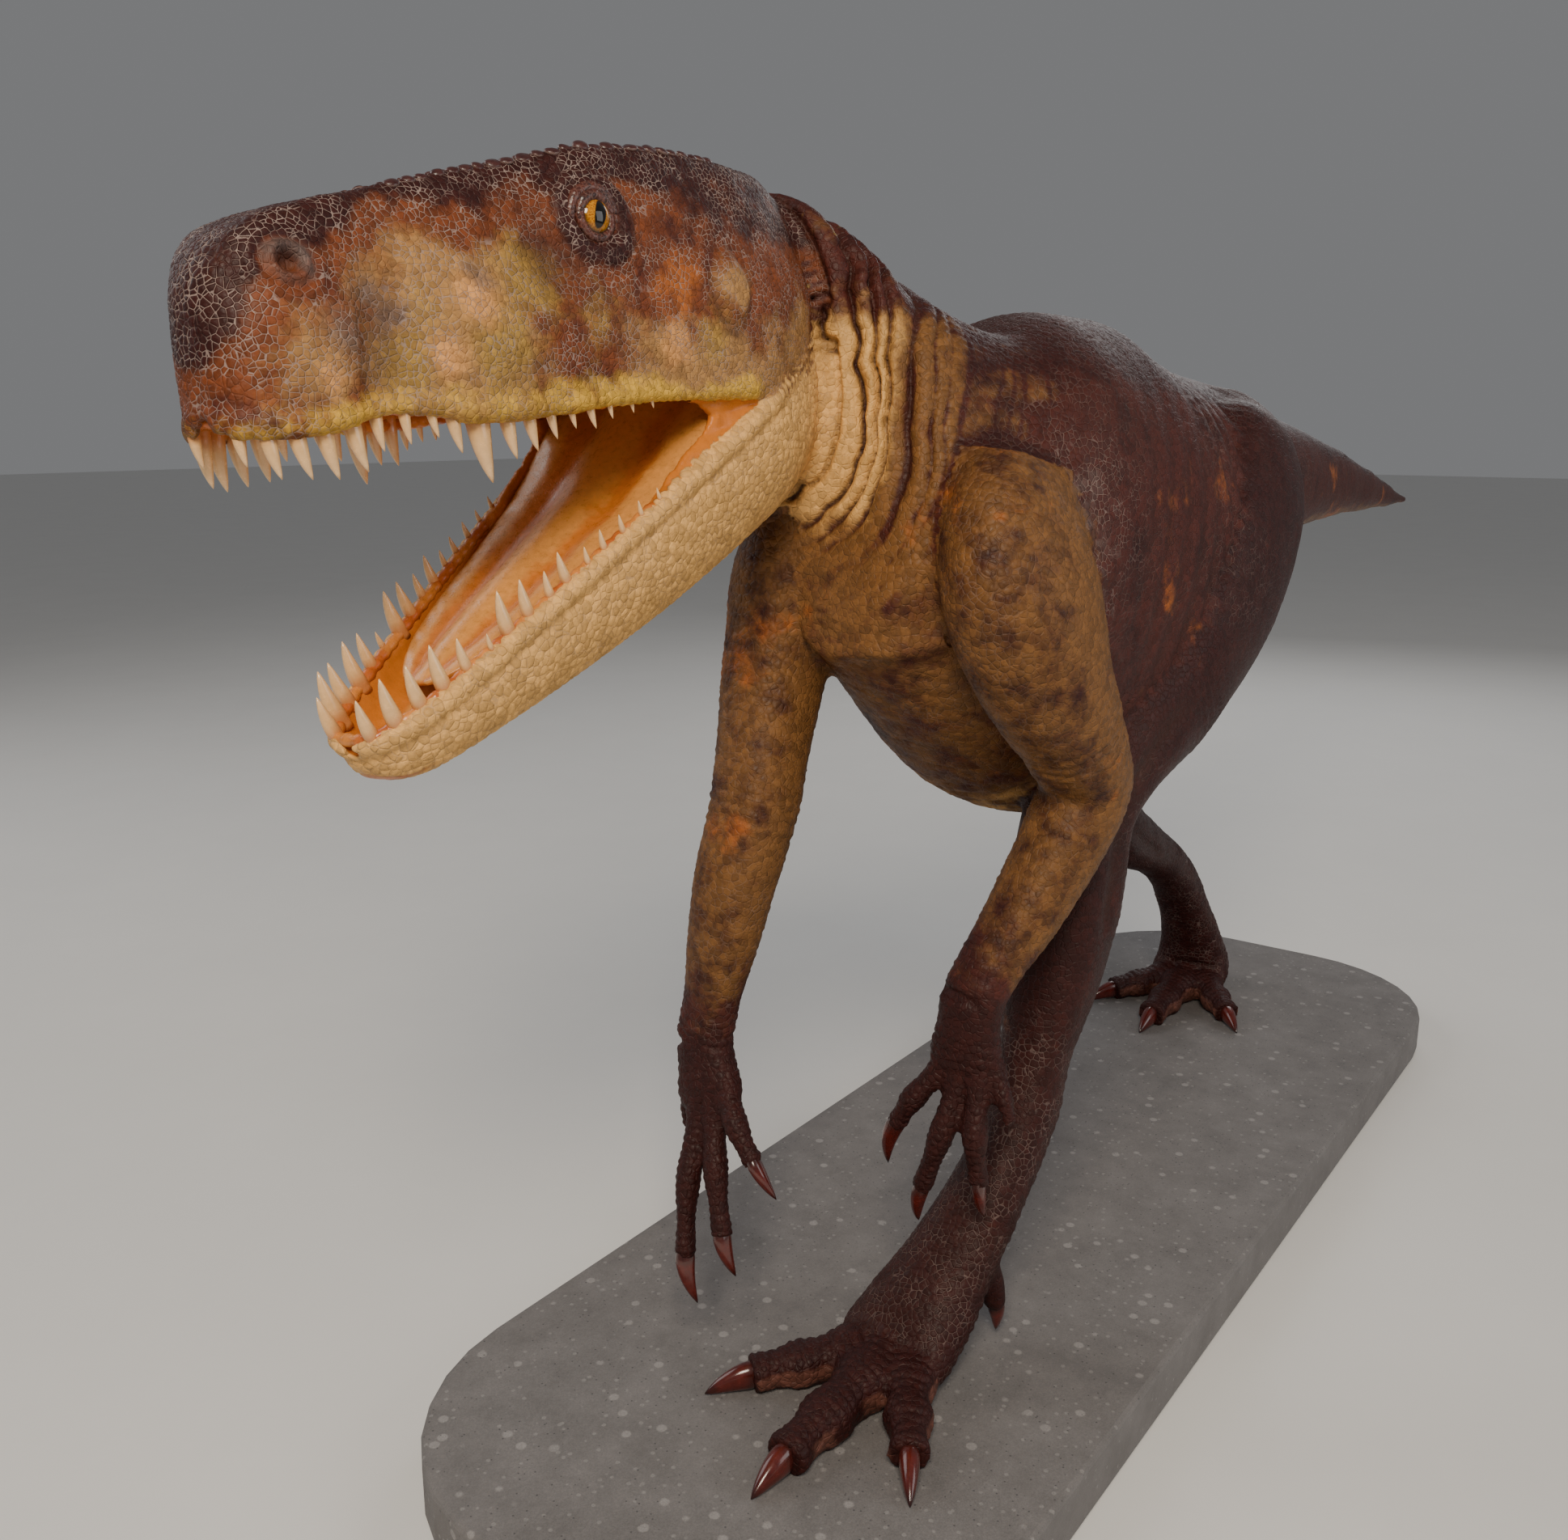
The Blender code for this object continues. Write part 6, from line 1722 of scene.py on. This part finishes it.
def dress_figure():
    lofts = flesh_lofts()
    skin = fused_flesh(lofts)
    fold_skin(skin, lofts)
    raise_scales(skin)
    skin.data.materials.clear()
    skin.data.materials.append(skin_finish())
    skin.data.shade_smooth()
    add_piece(skin, "skin", *FLESH)
    ivory = shaded_finish("ivory_teeth", [(0.0, (0.52, 0.20, 0.06)), (0.30, (0.70, 0.42, 0.18)),
                                          (1.0, (0.74, 0.48, 0.24))], 0.16, 0.45, 140.0, 0.12)
    add_piece(make_teeth("teeth_upper", UPPER_TEETH, HEAD_SECTIONS, HEAD, True, ivory), "teeth")
    add_piece(make_teeth("teeth_lower", LOWER_TEETH, JAW_SECTIONS, JAW, False, ivory), "teeth")
    gum = wet_finish("painted_gum", (0.56, 0.20, 0.040), (0.42, 0.100, 0.016))
    add_piece(make_gum("gum_upper", UPPER_TEETH, HEAD_SECTIONS, HEAD, True, gum), "mouth")
    add_piece(make_gum("gum_lower", LOWER_TEETH, JAW_SECTIONS, JAW, False, gum), "mouth")
    flesh = wet_finish("painted_tongue", (0.560, 0.245, 0.058), (0.470, 0.140, 0.018))
    add_piece(make_tongue(flesh), "mouth", "tongue")
    amber = eye_finish()
    for word, sign in (("left", 1), ("right", -1)):
        add_piece(make_eye(word, sign, amber), "eye", "eye_" + word)
    add_piece(make_lids(lid_finish()), "skin")
    add_piece(make_scutes(skin, scute_finish()), "skin")
    horn = shaded_finish("red_horn", [(0.0, (0.040, 0.010, 0.008)), (0.25, (0.090, 0.011, 0.007)),
                                      (0.75, (0.075, 0.009, 0.006)), (1.0, (0.020, 0.005, 0.004))],
                         0.14, 0.45, 90.0, 0.40)
    for word, hand, midfoot, inward in (("left", LEFT_HAND, LEFT_MIDFOOT, 1.0),
                                        ("right", RIGHT_HAND, RIGHT_MIDFOOT, -1.0)):
        add_piece(make_hand_claws(word, hand, horn), "horn",
                  *[f"claw_{word}_{name}" for name in ("thumb", "second", "third")])
        add_piece(make_foot_claws(word, midfoot, inward, horn), "horn",
                  *[f"claw_foot_{word}_{name}" for name in ("inner", "middle", "outer", "spur")])
    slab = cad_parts["stand_slab"]
    slab.data.materials.clear()
    slab.data.materials.append(slab_finish())


def soft_light(name, place, target, width, watts, colour=(1.0, 1.0, 1.0)):
    lamp = bpy.data.lights.new(name, "AREA")
    lamp.shape = "SQUARE"
    lamp.size = width
    lamp.energy = watts
    lamp.color = colour
    light = bpy.data.objects.new(name, lamp)
    light.location = place
    light.rotation_euler = (Vector(target) - Vector(place)).to_track_quat("-Z", "Y").to_euler()
    bpy.context.scene.collection.objects.link(light)


def make_stage():
    """Pale floor, soft lights and the camera of the photograph."""
    floor = mesh_object("floor", [(-30, -30, 0), (30, -30, 0), (30, 30, 0), (-30, 30, 0)], [(0, 1, 2, 3)],
                        floor_finish())
    soft_light("key", (-3.0, -1.5, 3.1), (-0.5, 0.0, 0.9), 1.2, 135.0, (1.0, 0.88, 0.72))
    soft_light("fill", (1.2, -4.2, 2.2), (0.2, 0.0, 0.7), 3.0, 60.0)
    soft_light("far_side", (-1.5, 4.0, 3.2), (0.0, 0.0, 0.8), 3.0, 60.0)
    soft_light("behind", (4.5, 1.0, 3.0), (0.8, 0.0, 0.7), 2.5, 45.0)
    world = bpy.data.worlds.new("studio")
    world.use_nodes = True
    world.node_tree.nodes["Background"].inputs["Color"].default_value = (0.86, 0.87, 0.89, 1.0)
    world.node_tree.nodes["Background"].inputs["Strength"].default_value = 0.22
    bpy.context.scene.world = world
    camera = bpy.data.objects.new("camera", bpy.data.cameras.new("camera"))
    camera.data.lens = CAMERA_LENS
    camera.data.sensor_width = 36.0
    c, s = math.cos(CAMERA_TURN), math.sin(CAMERA_TURN)
    level, drop = math.cos(CAMERA_TILT), math.sin(CAMERA_TILT)
    right = Vector((c, -s, 0.0))
    ahead = Vector((s * level, c * level, -drop))
    camera.matrix_world = Matrix.Translation(CAMERA_AT) @ Matrix(
        (right, right.cross(ahead), -ahead)).transposed().to_4x4()
    bpy.context.scene.collection.objects.link(camera)
    bpy.context.scene.camera = camera


dress_figure()
make_stage()
